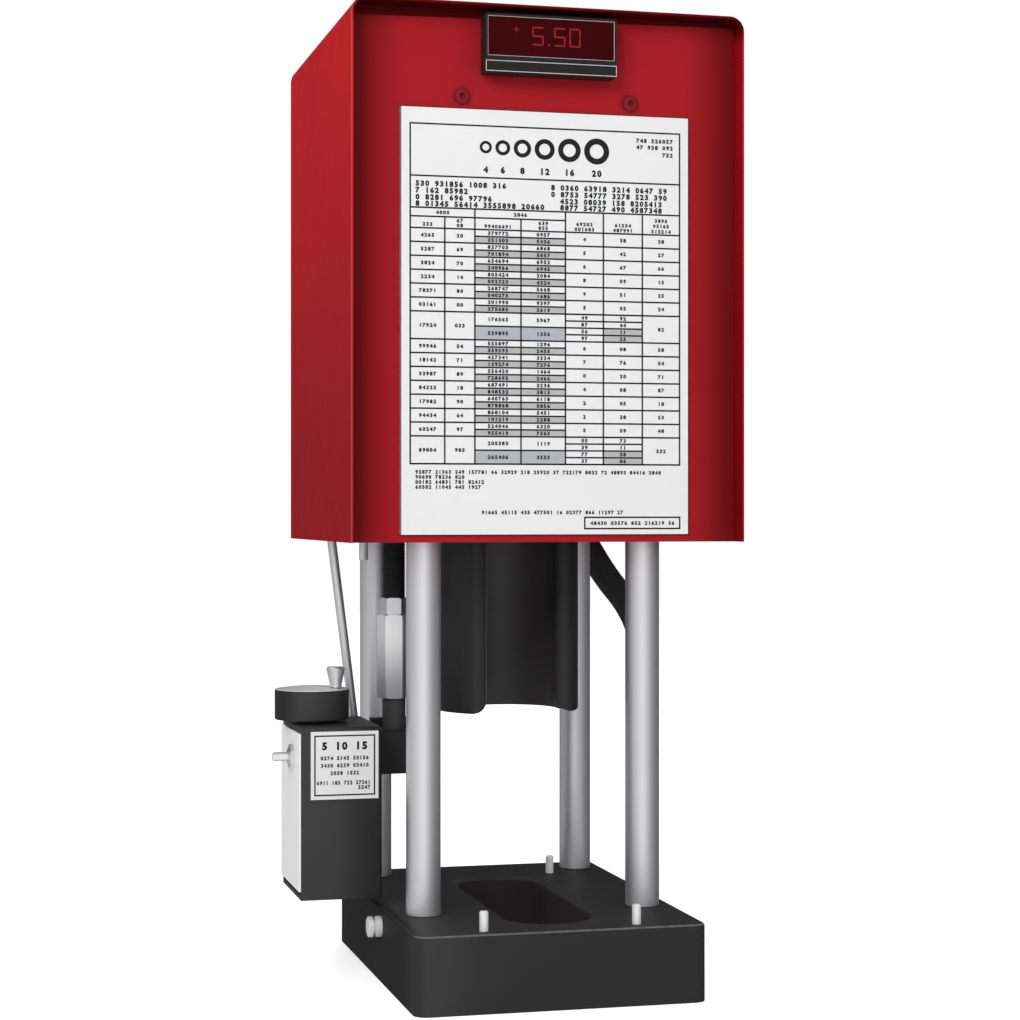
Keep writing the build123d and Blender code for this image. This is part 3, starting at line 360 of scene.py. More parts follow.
def bare_metal_finishes(made):
    """Ground, plated, turned and cast metal."""
    steel = Finish("ground_steel", (0.84, 0.84, 0.865), 0.42, 0.9)
    steel.mottle(12.0, 0.3, 0.75, 0.3, (0.78, 0.78, 0.80), detail=2.0)
    steel.vary_roughness(steel.noise(160.0, 2.0, (0.15, 0.15, 6.0)), 0.39, 0.46)
    steel.bump(steel.noise(300.0, 2.0, (0.1, 0.1, 9.0)), 0.000006, 0.25)
    made["ground_steel"] = steel

    bright = Finish("bright_plate", (0.94, 0.94, 0.95), 0.42, 0.3)
    bright.mottle(60.0, 0.4, 0.8, 0.25, (0.86, 0.86, 0.87))
    bright.wear(260.0, 0.38, 0.48)
    made["bright_plate"] = bright

    zinc = Finish("zinc_plate", (0.78, 0.78, 0.795), 0.38, 0.9)
    zinc.mottle(90.0, 0.4, 0.8, 0.3, (0.7, 0.7, 0.7))
    zinc.wear(300.0, 0.3, 0.42)
    zinc.grain(900.0, 3.0, 0.00001, 0.3)
    made["zinc"] = zinc

    plated = Finish("plated_coupling", (0.97, 0.97, 0.98), 0.38, 0.7)
    # Painted shade: the coupling is painted darker towards its foot.
    painted_shade_towards_foot = plated.along("Z").ramp(0.262, 0.207)
    plated.vary_colour(painted_shade_towards_foot * 0.92, (0.27, 0.27, 0.285))
    plated.wear(300.0, 0.34, 0.46)
    made["plated"] = plated

    low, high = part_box("push_button")
    radius = (high.z - low.z) / 2
    turned = Finish("turned_steel", (0.9, 0.9, 0.905), 0.4, 0.4)
    # Painted shade and highlight: the pin is light along its middle and painted darker towards
    # its top and bottom.
    painted_shade_off_middle = abs(turned.along("Z") - (low.z + radius)).ramp(radius * 0.35, radius)
    turned.vary_colour(painted_shade_off_middle * 0.75, (0.36, 0.36, 0.37))
    turned.wear(260.0, 0.36, 0.46)
    made["turned_steel"] = turned

    low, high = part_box("button_bush")
    collar = Finish("zinc_collar", (0.62, 0.62, 0.63), 0.4, 0.3)
    # Painted shade: the collar's upper half is painted darker.
    upper = collar.along("Z").ramp((low.z + high.z) / 2 - 0.001, high.z - 0.001)
    collar.vary_colour(upper * 0.9, (0.18, 0.18, 0.19))
    collar.wear(260.0, 0.36, 0.46)
    made["zinc_collar"] = collar

    low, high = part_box("dial_rim")
    ring_waves = 12000.0
    dial = Finish("turned_aluminium", (0.54, 0.54, 0.555), 0.5, 0.1)
    across, back = dial.along("X"), dial.along("Y")
    # Painted highlight: the dial face is painted lighter from its left edge to its middle and a
    # little darker again to the right.
    dial.vary_colour(across.ramp(-0.182, -0.150) * 0.85, (0.80, 0.80, 0.82))
    dial.vary_colour(across.ramp(-0.150, -0.125) * 0.5, (0.56, 0.56, 0.57))
    radius = span(across - (low.x + high.x) / 2, back - (low.y + high.y) / 2)
    dial.bump((radius * ring_waves).math("SINE"), 0.00001, 0.25)
    dial.wear(400.0, 0.44, 0.56)
    dial.grain(900.0, 3.0, 0.00002, 0.4)
    made["dial_face"] = dial

    iron = Finish("grey_iron_paint", (0.11, 0.11, 0.115), 0.5)
    iron.mottle(25.0, 0.3, 0.7, 1.0, (0.085, 0.085, 0.09))
    iron.grain(500.0, 4.0, 0.0001, 0.5)
    made["grey_iron"] = iron

    bronze = Finish("bearing_bronze", (0.5, 0.3, 0.12), 0.35, 1.0)
    bronze.wear(300.0, 0.28, 0.45)
    made["bronze"] = bronze


def pusher_finish():
    """Black forging, with painted light and shade: its bore is painted paler, above all high up
    and at the left, its right side is painted darker, and a painted highlight runs down its left
    lip.
    """
    low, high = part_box("pusher")
    outside = (high.x - low.x) / 2
    bore = 0.038
    left_lip = -0.0243

    black = Finish("pusher_black", (0.033, 0.032, 0.0325), 0.45, Specular_IOR_Level=0.25)
    across, back = black.along("X"), black.along("Y")
    # Painted shade: the pusher is painted darker towards its right.
    black.vary_colour(across.ramp(-0.02, 0.06) * 0.75, (0.018, 0.0165, 0.017))
    from_axis = span(across - (low.x + outside), back - (high.y - outside))
    # Painted light: the bore is painted paler, most of all high up.
    bored = from_axis.ramp(bore + 0.0025, bore + 0.0005) * back.ramp(-0.030, -0.008)
    raised = black.along("Z").ramp(low.z - 0.02, low.z + 0.13)
    black.vary_colour(bored * (raised * 0.5 + 0.3), (0.17, 0.16, 0.165))
    # Painted shade: the bore is painted darker again towards its right.
    black.vary_colour(bored * across.ramp(0.0, 0.032) * 0.6, (0.03, 0.027, 0.028))
    black.mottle(14.0, 0.35, 0.75, 0.3, (0.033, 0.032, 0.0325))
    # Painted highlight: a pale line down the left wall's lip at the mouth.
    lip = abs(across - left_lip).ramp(0.0018, 0.0011) * back.ramp(-0.040, -0.0415)
    black.vary_colour(lip * 0.7, (0.2, 0.2, 0.2))
    black.wear(150.0, 0.4, 0.5)
    black.grain(700.0, 3.0, 0.00002, 0.4)
    return black


def base_finish():
    """Black paint on a casting, with painted light and shade: a patchy painted highlight along
    the top's front edges, dark painted shade on the left face, towards the back and to the
    right, and a painted lighter slot.
    """
    low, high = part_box("base")
    slot_middle, slot_half = (0.0018, -0.0495), (0.034, 0.104)

    cast = Finish("black_cast_paint", (0.034, 0.0335, 0.034), 0.55, Specular_IOR_Level=0.12)
    across, back, up = cast.along("X"), cast.along("Y"), cast.along("Z")
    # Painted shade: the base is painted darker towards the back.
    cast.vary_colour(back.ramp(-0.17, 0.10) * 0.95, (0.0135, 0.0125, 0.013))
    # Painted shade: the base is painted darker towards the right.
    cast.vary_colour(across.ramp(-0.105, -0.03) * 0.4, (0.022, 0.0215, 0.022))
    cast.mottle(11.0, 0.35, 0.75, 0.25, (0.022, 0.021, 0.022))
    # Painted light: the base is painted lighter towards its left.
    cast.vary_colour(across.ramp(-0.055, -0.1) * 0.7, (0.052, 0.051, 0.052))
    # Painted shade: the left face is painted darker, most of all behind its front corner.
    painted_shade_left_face = across.ramp(low.x + 0.009, low.x + 0.0015)
    behind_corner = back.ramp(low.y + 0.002, low.y + 0.05)
    cast.vary_colour(painted_shade_left_face * (behind_corner * 0.6 + 0.4), (0.0105, 0.01, 0.0105))
    # Painted light: the inside of the slot is painted lighter.
    in_slot_x = abs(across - slot_middle[0]).ramp(slot_half[0] + 0.0005, slot_half[0] - 0.0005)
    in_slot_y = abs(back - slot_middle[1]).ramp(slot_half[1] + 0.0005, slot_half[1] - 0.0005)
    cast.vary_colour(in_slot_x * in_slot_y, (0.032, 0.028, 0.029))
    # Painted highlight: a pale line along the top's front edges, broken into patches.
    highlight_top_edge = up.ramp(high.z - 0.0016, high.z - 0.0009)
    highlight_top_edge = highlight_top_edge * up.ramp(high.z - 0.0001, high.z - 0.0004)
    in_front = back.ramp(low.y + 0.012, low.y + 0.003)
    patchy = cast.noise(240.0).ramp(0.3, 0.6) * 0.35 + 0.65
    cast.vary_colour(highlight_top_edge * (in_front * 0.65 + 0.2) * patchy, (0.17, 0.17, 0.17))
    cast.wear(120.0, 0.5, 0.6)
    cast.grain(420.0, 4.0, 0.00003, 0.4)
    return cast


def black_finishes(made):
    """Blackened steel, black paint, moulding and rubber."""
    made["pusher_black"] = pusher_finish()
    made["black_cast"] = base_finish()

    black = Finish("black_oxide", (0.019, 0.018, 0.0185), 0.45, Specular_IOR_Level=0.25)
    black.mottle(14.0, 0.35, 0.75, 0.4, (0.024, 0.023, 0.024))
    black.wear(150.0, 0.4, 0.5)
    black.grain(700.0, 3.0, 0.00002, 0.4)
    made["black_oxide"] = black

    stud = Finish("worn_black_oxide", (0.05, 0.049, 0.05), 0.42, Specular_IOR_Level=0.25)
    stud.mottle(60.0, 0.35, 0.75, 0.3, (0.042, 0.041, 0.042))
    stud.wear(150.0, 0.38, 0.48)
    made["worn_oxide"] = stud

    low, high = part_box("box_body")
    width = high.x - low.x
    paint = Finish("black_satin_paint", (0.046, 0.045, 0.046), 0.45, Specular_IOR_Level=0.2)
    across = paint.along("X")
    # Painted shade: the box is painted darker towards its right side.
    painted_shade_right_side = across.ramp(low.x + 0.35 * width, low.x + 0.95 * width)
    paint.vary_colour(painted_shade_right_side * 0.9, (0.0145, 0.0125, 0.013))
    low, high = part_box("dial_rim")
    # Painted shade: the paint below the dial rim's left side is darkened.
    painted_shade_rim_left = across.ramp(low.x + 0.017, low.x + 0.001)
    painted_shade_rim_left = painted_shade_rim_left * paint.along("Z").ramp(low.z - 0.001, low.z)
    paint.vary_colour(painted_shade_rim_left * 0.9, (0.012, 0.011, 0.0115))
    paint.mottle(16.0, 0.35, 0.75, 0.25, (0.032, 0.031, 0.032))
    paint.wear(90.0, 0.4, 0.5)
    paint.grain(1300.0, 2.0, 0.00002, 0.4)
    made["black_paint"] = paint

    moulded = Finish("black_moulding", (0.014, 0.014, 0.0145), 0.5, Specular_IOR_Level=0.2)
    moulded.wear(500.0, 0.38, 0.55)
    moulded.grain(1700.0, 2.0, 0.00003, 0.5)
    made["black_plastic"] = moulded

    rubber = Finish("hose_rubber", (0.0155, 0.0135, 0.014), 0.55, Specular_IOR_Level=0.15)
    rubber.mottle(60.0, 0.4, 0.8, 0.4, (0.017, 0.016, 0.0165))
    rubber.wear(200.0, 0.44, 0.62)
    rubber.grain(800.0, 2.0, 0.00008, 0.5)
    made["rubber"] = rubber


def plate_finishes(made):
    """The white plates, their ink, and the read-out's window, figures and painted edge
    highlights.
    """
    for slot, name, bare, soiled in (
        ("white_plate", "white_plate_coat", (0.82, 0.82, 0.825), (0.79, 0.79, 0.785)),
        ("white_cover", "white_cover_coat", (0.96, 0.96, 0.96), (0.93, 0.93, 0.925)),
    ):
        white = Finish(name, bare, 0.45, Specular_IOR_Level=0.3)
        white.mottle(9.0, 0.45, 0.8, 0.5, soiled)
        white.wear(80.0, 0.4, 0.55)
        white.grain(900.0, 2.0, 0.00002, 0.4)
        made[slot] = white

    for slot, name, bare, waves, share, worn in (
        ("ink", "printing_ink", (0.014, 0.013, 0.014), 200.0, 0.4, (0.02, 0.02, 0.021)),
        ("printed_grey", "printed_grey", (0.47, 0.47, 0.475), 300.0, 0.3, (0.44, 0.44, 0.445)),
        ("printed_blue", "printed_blue_grey", (0.45, 0.45, 0.5), 300.0, 0.3, (0.42, 0.42, 0.47)),
    ):
        made[slot] = Finish(name, bare, 0.5, Specular_IOR_Level=0.2)
        made[slot].mottle(waves, 0.4, 0.8, share, worn)

    window = Finish("tinted_window", (0.042, 0.0008, 0.0018), 0.3, Specular_IOR_Level=0.05)
    window.mottle(30.0, 0.4, 0.8, 0.4, (0.034, 0.0006, 0.0014))
    window.wear(120.0, 0.24, 0.36)
    made["red_window"] = window

    lit = Finish("lit_segment", (0.20, 0.012, 0.018), 0.5, Specular_IOR_Level=0.1)
    lit.shader.inputs["Emission Color"].default_value = (0.22, 0.008, 0.016, 1)
    lit.shader.inputs["Emission Strength"].default_value = 0.3
    lit.wear(300.0, 0.35, 0.5)
    made["lit_segment"] = lit

    # Painted highlight: pale lines drawn along the window's and the strip's edges.
    highlight_coat = Finish("painted_edge_highlight", (0.62, 0.55, 0.55), 0.35)
    highlight_coat.wear(300.0, 0.3, 0.45)
    made["painted_edge_highlight"] = highlight_coat

    board = Finish("lacquered_board", (0.02, 0.13, 0.05), 0.4)
    board.mottle(400.0, 0.45, 0.6, 1.0, (0.015, 0.09, 0.035))
    made["board"] = board


def make_finishes():
    """Every finish of the machine, by name."""
    made = {}
    for some_finishes in (red_finishes, bare_metal_finishes, black_finishes, plate_finishes):
        some_finishes(made)
    return made


# ---------------------------------------------------------------- piece helpers
def add_piece(name, mesh, body, finish, smooth=False):
    """Show a mesh as a piece that rides on a body and takes a finish."""
    mesh.materials.clear()
    mesh.materials.append(finish.material)
    mesh.polygons.foreach_set("use_smooth", [smooth] * len(mesh.polygons))
    piece = bpy.data.objects.new(name, mesh)
    bpy.context.collection.objects.link(piece)
    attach(piece, body)
    return piece


def mesh_of(name, points, faces):
    mesh = bpy.data.meshes.new(name)
    mesh.from_pydata(points, [], faces)
    mesh.validate()
    return mesh


glyphs = {}


def glyph(character):
    """One figure as flat points and faces, a unit high and centred on its pen place."""
    if character not in glyphs:
        text = bpy.data.curves.new("figure", "FONT")
        text.body = character
        text.resolution_u = 2
        text.offset = FIGURE_BOLDNESS
        holder = bpy.data.objects.new("figure", text)
        bpy.context.collection.objects.link(holder)
        ready = holder.evaluated_get(bpy.context.evaluated_depsgraph_get())
        mesh = bpy.data.meshes.new_from_object(ready)
        points = [v.co.xy.copy() for v in mesh.vertices]
        faces = [tuple(p.vertices) for p in mesh.polygons]
        bpy.data.objects.remove(holder)
        bpy.data.meshes.remove(mesh)
        across = [p.x for p in points]
        middle = (min(across) + max(across)) / 2
        size = 1 / CAPITAL_SHARE
        shape = [((p.x - middle) * size, p.y * size) for p in points]
        glyphs[character] = (shape, faces)
    return glyphs[character]


class Printing:
    """Ink on a plate that faces the operator: flat bars and figures in one piece.

    Places are in millimetres to the right of and below the plate's upper left corner.
    """

    def __init__(self, node, lift):
        low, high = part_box(node)
        self.corner = Vector((low.x, low.y - lift * MM, high.z))
        self.points = []
        self.faces = []

    def at(self, right, down):
        return self.corner + Vector((right * MM, 0, -down * MM))

    def polygon(self, places):
        first = len(self.points)
        self.points += [self.at(*place) for place in places]
        self.faces.append(tuple(range(first, len(self.points))))

    def bar(self, left, top, right, bottom):
        self.polygon([(left, bottom), (right, bottom), (right, top), (left, top)])

    def across(self, left, right, down, width):
        self.bar(left, down - width / 2, right, down + width / 2)

    def upright(self, right, top, bottom, width):
        self.bar(right - width / 2, top, right + width / 2, bottom)

    def border(self, left, top, right, bottom, width):
        for down in (top, bottom):
            self.across(left - width / 2, right + width / 2, down, width)
        for place in (left, right):
            self.upright(place, top + width / 2, bottom - width / 2, width)

    def ring(self, right, down, outer, inner, sides=48):
        """A round band, such as the section of a hose."""
        turn = [2 * math.pi * i / sides for i in range(sides)]
        rims = [
            [(right + r * math.cos(a), down - r * math.sin(a)) for a in turn]
            for r in (outer / 2, inner / 2)
        ]
        for i in range(sides):
            j = (i + 1) % sides
            self.polygon([rims[1][i], rims[0][i], rims[0][j], rims[1][j]])

    def number(self, words, right, down, height, align=0.5, wide=1.0):
        """Evenly spaced figures on one line, with their middle at that height."""
        advance = height * wide * FIGURE_ADVANCE
        pen = right - align * advance * len(words) + advance / 2
        for word in words:
            if word != " ":
                points, faces = glyph(word)
                first = len(self.points)
                self.points += [
                    self.at(pen + x * height * wide, down + height / 2 - y * height)
                    for x, y in points
                ]
                self.faces += [tuple(first + i for i in face) for face in faces]
            pen += advance

    def groups(self, lengths, right, down, height, align=0.5, wide=1.0):
        """Groups of plain figures, of those lengths."""
        words = " ".join(
            "".join(str(figures.randint(0, 9)) for _ in range(n)) for n in lengths
        )
        self.number(words, right, down, height, align, wide)

    def done(self, name, finish, slot, body="frame"):
        return add_piece(name, mesh_of(name, self.points, self.faces), body, finish)


# --------------------------------------------------------------------- the hose
def make_hose(finishes):
    """The oil hose: down from the cylinder's port, out between the right-hand
    columns, down behind them and along the floor to its coupling."""
    route = [
        (0.0450, 0.1163, 0.5600),
        (0.0450, 0.1163, 0.4462),
        (0.0996, 0.1182, 0.3167),
        (0.1647, 0.1441, 0.2487),
        (0.1635, 0.1744, 0.1559),
        (0.1882, 0.2417, 0.0118),
        (0.2360, 0.3928, 0.0148),
    ]
    diameter = 0.022
    curve = bpy.data.curves.new("oil_hose", "CURVE")
    curve.dimensions = "3D"
    curve.bevel_depth = diameter / 2
    curve.bevel_resolution = 8
    curve.resolution_u = 24
    curve.use_fill_caps = True
    spline = curve.splines.new("NURBS")
    spline.points.add(len(route) - 1)
    for point, place in zip(spline.points, route):
        point.co = (*place, 1)
    spline.order_u = 3
    spline.use_endpoint_u = True
    curve.materials.append(finishes["rubber"].material)
    hose = bpy.data.objects.new("oil_hose", curve)
    bpy.context.collection.objects.link(hose)
    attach(hose, "frame")
    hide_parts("hose")


# ------------------------------------------------------------------- the chart
RULE = 1.15
CELL = {"height": 2.45, "wide": 1.12}
PARAGRAPH = {"height": 3.55, "align": 0.0, "wide": 1.04}
FOOTNOTE = {"height": 2.45, "wide": 1.03}


class Chart:
    """The setting chart: a ruled table of plain figures, in four layers of print."""

    top, header, table_top, titles, body_top, foot = 12.3, 49.5, 72.2, 78.5, 86.8, 255.2
    left, right, indent = 7.1, 208.9, 10.6

    def __init__(self):
        self.lines = Printing("chart_plate", 0.06)
        self.shades = Printing("chart_plate", 0.03)
        self.blues = Printing("chart_plate", 0.03)
        self.text = Printing("chart_plate", 0.09)
        shares = (0, 0.125, 0.2345, 0.404, 0.569, 0.711, 0.858, 1)
        self.columns = [self.left + share * (self.right - self.left) for share in shares]
        self.centres = [(a + b) / 2 for a, b in zip(self.columns, self.columns[1:])]

    def rule_off(self):
        """The plate's edge, the frame of the table and its long rules."""
        self.lines.border(0.3, 0.3, 215.7, 306.2, 0.6)
        self.lines.border(self.left, self.top, self.right, self.foot, RULE)
        for down in (self.header, self.table_top, self.body_top):
            self.lines.across(self.left, self.right, down, RULE)
        self.lines.across(self.left, self.columns[4], self.titles, RULE)
        for index, place in enumerate(self.columns[1:-1], 1):
            high = self.titles if index in (1, 3) else self.table_top
            self.lines.upright(place, high, self.foot, RULE)

    def print_header(self):
        """Rings that grow, each over a plain number, and lines of figures."""
        pen, gap = 58.0, 2.6
        rings = ((9.0, "4"), (11.0, "6"), (13.0, "8"), (15.0, "12"), (17.0, "16"), (19.0, "20"))
        for size, words in rings:
            centre = pen + size / 2
            self.text.ring(centre, 27.5, size, size * 0.55)
            self.text.number(words, centre, 43.6, 4.2)
            pen += size + gap
        for lengths, down in (((3, 6), 18.3), ((2, 3, 3), 23.1), ((3,), 28.3)):
            self.text.groups(lengths, 203.9, down, 2.7, 1.0, 1.1)
        for lengths, start, down in (
            ((3, 6, 4, 3), self.indent, 55.0),
            ((1, 3, 5), self.indent, 59.8),
            ((1, 4, 3, 5), self.indent, 64.7),
            ((1, 5, 5, 7, 5), self.indent, 69.3),
            ((1, 4, 5, 4, 4, 2), 110.8, 54.8),
            ((1, 4, 5, 4, 3, 3), 110.8, 59.7),
            ((4, 5, 3, 7), 117.6, 64.6),
            ((4, 5, 3, 7), 117.6, 69.2),
        ):
            self.text.groups(lengths, start, down, **PARAGRAPH)

    def print_titles(self):
        """A number over each pair of columns, and the numbers at each column's head."""
        for first, last in ((0, 2), (2, 4)):
            middle = (self.columns[first] + self.columns[last]) / 2
            self.text.groups((4,), middle, 75.4, 2.45, wide=1.1)
        for column, words in (
            (0, ((3, 84.0),)),
            (1, ((2, 81.0), (2, 84.4))),
            (2, ((8, 84.3),)),
            (3, ((3, 81.0), (3, 84.4))),
            (4, ((5, 80.8), (6, 84.4))),
            (5, ((5, 80.8), (6, 84.4))),
            (6, ((4, 76.6), (5, 80.5), (6, 84.4))),
        ):
            for length, down in words:
                self.text.groups((length,), self.centres[column], down, 2.4, wide=1.12)

    def cell(self, length, column, down):
        self.text.groups((length,), self.centres[column], down, **CELL)

    def print_rows(self):
        """Fifteen rows; two are twice as tall, with a blue cell and four lines."""
        tall_rows, rows = (6, 14), 15
        row = (self.foot - self.body_top) / (rows + len(tall_rows))
        down = self.body_top
        for index in range(rows):
            tall = index in tall_rows
            high = row * (2 if tall else 1)
            middle = down + high / 2
            low = down + high
            self.lines.across(self.left, self.right, low, RULE)
            self.cell(4 if index < 4 else 5, 0, middle)
            self.cell(3 if tall else 2, 1, middle)
            self.lines.across(self.columns[2], self.columns[4], middle, RULE)
            shade = self.blues if tall else self.shades
            shade.bar(self.columns[2], middle, self.columns[4], low)
            for step in (0.25, 0.75):
                self.cell(6, 2, down + high * step)
                self.cell(4, 3, down + high * step)
            if tall:
                for part in range(4):
                    place = down + high * (part + 0.5) / 4
                    self.cell(2, 4, place)
                    self.cell(2, 5, place)
                    parting = down + high * part / 4
                    self.lines.across(self.columns[4], self.columns[6], parting, RULE)
                self.shades.bar(self.columns[5], middle, self.columns[6], low)
                self.cell(3 if index > 10 else 2, 6, middle)
            else:
                self.cell(1, 4, middle)
                self.cell(2, 5, middle)
                self.cell(2, 6, middle)
            down = low

    def print_foot(self):
        """The notes under the table, and the boxed line at the plate's lower corner."""
        long_line = (5, 5, 3, 6, 2, 5, 3, 5, 2, 6, 4, 2, 5, 5, 4)
        for lengths, down in (
            (long_line, 261.0),
            ((5, 5, 3), 264.6),
            ((5, 5, 3, 5), 268.2),
            ((5, 5, 3, 4), 271.8),
        ):
            self.text.groups(lengths, self.indent, down, align=0.0, **FOOTNOTE)
        self.text.groups(long_line[:9], 112.5, 290.0, **FOOTNOTE)
        self.lines.border(136.5, 293.6, 209.0, 301.8, RULE)
        self.text.groups(long_line[:5], 172.8, 297.8, 2.45, wide=1.1)


def make_chart(finishes):
    chart = Chart()
    chart.rule_off()
    chart.print_header()
    chart.print_titles()
    chart.print_rows()
    chart.print_foot()
    chart.lines.done("chart_rules", finishes["ink"], "white_plate")
    chart.shades.done("chart_shaded_cells", finishes["printed_grey"], "white_plate")
    chart.blues.done("chart_blue_cells", finishes["printed_blue"], "white_plate")
    chart.text.done("chart_figures", finishes["ink"], "white_plate")


def make_box_label(finishes):
    """Rows of plain figures in a ruled border on the box's small plate."""
    middle, right = 25.2, 44.6
    label = Printing("box_label", 0.06)
    label.border(3.0, 3.2, 47.5, 46.8, 1.1)
    label.number("5 10 15", middle, 10.6, 5.2)
    for lengths, down, place, align, wide in (
        ((4, 4, 5), 19.6, middle, 0.5, 0.97),
        ((4, 4, 5), 25.0, middle, 0.5, 0.97),
        ((4, 4), 30.6, middle, 0.5, 0.97),
        ((4, 3, 3, 5), 37.8, right, 1.0, 0.9),
        ((4,), 41.4, right, 1.0, 0.97),
    ):
        label.groups(lengths, place, down, 2.6, align, wide)
    label.done("label_figures", finishes["ink"], "white_plate")


# ----------------------------------------------------------------- the read-out
def segments(left, centre):
    """The seven bars of one figure, by their usual letters: left, top, right, bottom."""
    height, width, stroke, gap = 13.6, 8.6, 1.25, 0.35
    top, bottom = centre - height / 2, centre + height / 2
    right = left + width
    return {
        "a": (left + gap, top, right - gap, top + stroke),
        "d": (left + gap, bottom - stroke, right - gap, bottom),
        "g": (left + gap, centre - stroke / 2, right - gap, centre + stroke / 2),
        "f": (left, top + gap, left + stroke, centre - gap),
        "e": (left, centre + gap, left + stroke, bottom - gap),
        "b": (right - stroke, top + gap, right, centre - gap),
        "c": (right - stroke, centre + gap, right, bottom - gap),
    }


def make_display(finishes):
    """The lit figures, and the painted highlight lines along the edges of the window and of the
    strip under it.
    """
    low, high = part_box("display_window")
    wide, tall = (high.x - low.x) / MM, (high.z - low.z) / MM
    middle, centre = wide / 2, tall / 2 - 1.0
    lit = Printing("display_window", 0.06)
    for start, marks in ((-14.4, "afgcd"), (1.8, "afgcd"), (13.2, "abcdef")):
        bars = segments(middle + start, centre)
        for mark in marks:
            lit.bar(*bars[mark])
    foot = bars["d"][3]
    lit.bar(middle - 2.6, foot - 1.5, middle - 1.2, foot)
    plus, up, arm, half_stroke = middle - 26.0, centre - 4.2, 2.2, 0.35
    lit.bar(plus - arm, up - half_stroke, plus + arm, up + half_stroke)
    lit.bar(plus - half_stroke, up - arm, plus + half_stroke, up - half_stroke)
    lit.bar(plus - half_stroke, up + half_stroke, plus + half_stroke, up + arm)
    lit.done("display_figures", finishes["lit_segment"], "red_window")

    line = 0.5
    edge = Printing("display_window", 0.05)
    edge.border(0.2, 0.2, wide - 0.2, tall - 0.2, line)
    edge.done("window_edge", finishes["painted_edge_highlight"], "black_plastic")
    low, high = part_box("display_bezel")
    wide, tall = (high.x - low.x) / MM, (high.z - low.z) / MM
    strip = Printing("display_bezel", 0.05)
    strip.border(0.4, tall - 8.2, wide - 0.4, tall - 0.9, line)
    strip.done("strip_edge", finishes["painted_edge_highlight"], "black_plastic")


# -------------------------------------------------- fasteners and turned shapes
def screw_mesh(name, head_radius, head_height, socket, crown, sides=32):
    """A round head with a hexagon socket, pointing up from its seat."""
    build = bmesh.new()
    rings = []
    wall = 0.35

    def add_ring(height, radius=None, across_flats=None):
        row = []
        for i in range(sides):
            angle = 2 * math.pi * i / sides
            reach = radius
            if across_flats:
                half = math.pi / 6
                inner = (angle % (2 * half)) - half
                reach = across_flats / 2 / math.cos(inner)
            place = (reach * math.cos(angle), reach * math.sin(angle), height)
            row.append(build.verts.new(place))
        rings.append(row)

    add_ring(0, head_radius)
    add_ring(head_height * wall, head_radius)
    steps = 6
    for step in range(1, steps + 1):
        turn = math.pi / 2 * step / steps
        radius = head_radius - crown * (1 - math.cos(turn))
        add_ring(head_height * (wall + (1 - wall) * math.sin(turn)), radius)
    add_ring(head_height, across_flats=socket * 1.06)
    add_ring(head_height * 0.94, across_flats=socket)
    add_ring(head_height * 0.3, across_flats=socket)
    for low, high in zip(rings, rings[1:]):
        for i in range(sides):
            j = (i + 1) % sides
            build.faces.new((low[i], low[j], high[j], high[i]))
    build.faces.new(rings[-1])
    build.faces.new(list(reversed(rings[0])))
    bmesh.ops.recalc_face_normals(build, faces=build.faces)
    mesh = bpy.data.meshes.new(name)
    build.to_mesh(mesh)
    build.free()
    return mesh


def place_fasteners(name, pattern, places, turn, finish):
    """Set one screw on each place with Geometry Nodes, and return the plain mesh."""
    holder = bpy.data.objects.new("pattern", pattern)
    bpy.context.collection.objects.link(holder)
    seats = bpy.data.objects.new(name, mesh_of(name, places, []))
    bpy.context.collection.objects.link(seats)
    tree = bpy.data.node_groups.new("screws_on_seats", "GeometryNodeTree")
    for entry, kind, way in (
        ("Geometry", "Geometry", "INPUT"),
        ("Screw", "Object", "INPUT"),
        ("Turn", "Vector", "INPUT"),
        ("Finish", "Material", "INPUT"),
        ("Geometry", "Geometry", "OUTPUT"),
    ):
        tree.interface.new_socket(entry, in_out=way, socket_type="NodeSocket" + kind)
    given = tree.nodes.new("NodeGroupInput")
    result = tree.nodes.new("NodeGroupOutput")
    info = tree.nodes.new("GeometryNodeObjectInfo")
    turned = tree.nodes.new("FunctionNodeEulerToRotation")
    spread = tree.nodes.new("GeometryNodeInstanceOnPoints")
    real = tree.nodes.new("GeometryNodeRealizeInstances")
    coat = tree.nodes.new("GeometryNodeSetMaterial")
    link = tree.links.new
    link(given.outputs["Geometry"], spread.inputs["Points"])
    link(given.outputs["Screw"], info.inputs["Object"])
    link(info.outputs["Geometry"], spread.inputs["Instance"])
    link(given.outputs["Turn"], turned.inputs["Euler"])
    link(turned.outputs["Rotation"], spread.inputs["Rotation"])
    link(spread.outputs["Instances"], real.inputs["Geometry"])
    link(real.outputs["Geometry"], coat.inputs["Geometry"])
    link(given.outputs["Finish"], coat.inputs["Material"])
    link(coat.outputs["Geometry"], result.inputs["Geometry"])
    modifier = seats.modifiers.new("screws", "NODES")
    modifier.node_group = tree
    sockets = [s for s in tree.interface.items_tree if s.in_out == "INPUT"]
    keys = {socket.name: socket.identifier for socket in sockets}
    modifier[keys["Screw"]] = holder
    modifier[keys["Turn"]] = turn
    modifier[keys["Finish"]] = finish.material
    ready = seats.evaluated_get(bpy.context.evaluated_depsgraph_get())
    mesh = bpy.data.meshes.new_from_object(ready)
    mesh.name = name
    bpy.data.objects.remove(seats)
    bpy.data.objects.remove(holder)
    return mesh


def skin(rows, sides):
    """The faces of a bar of that many closed rows, with its two ends shut."""
    faces = []
    for row in range(rows - 1):
        low, high = row * sides, (row + 1) * sides
        for i in range(sides):
            j = (i + 1) % sides
            faces.append((low + i, low + j, high + j, high + i))
    last = (rows - 1) * sides
    faces.append(tuple(reversed(range(sides))))
    faces.append(tuple(range(last, last + sides)))
    return faces


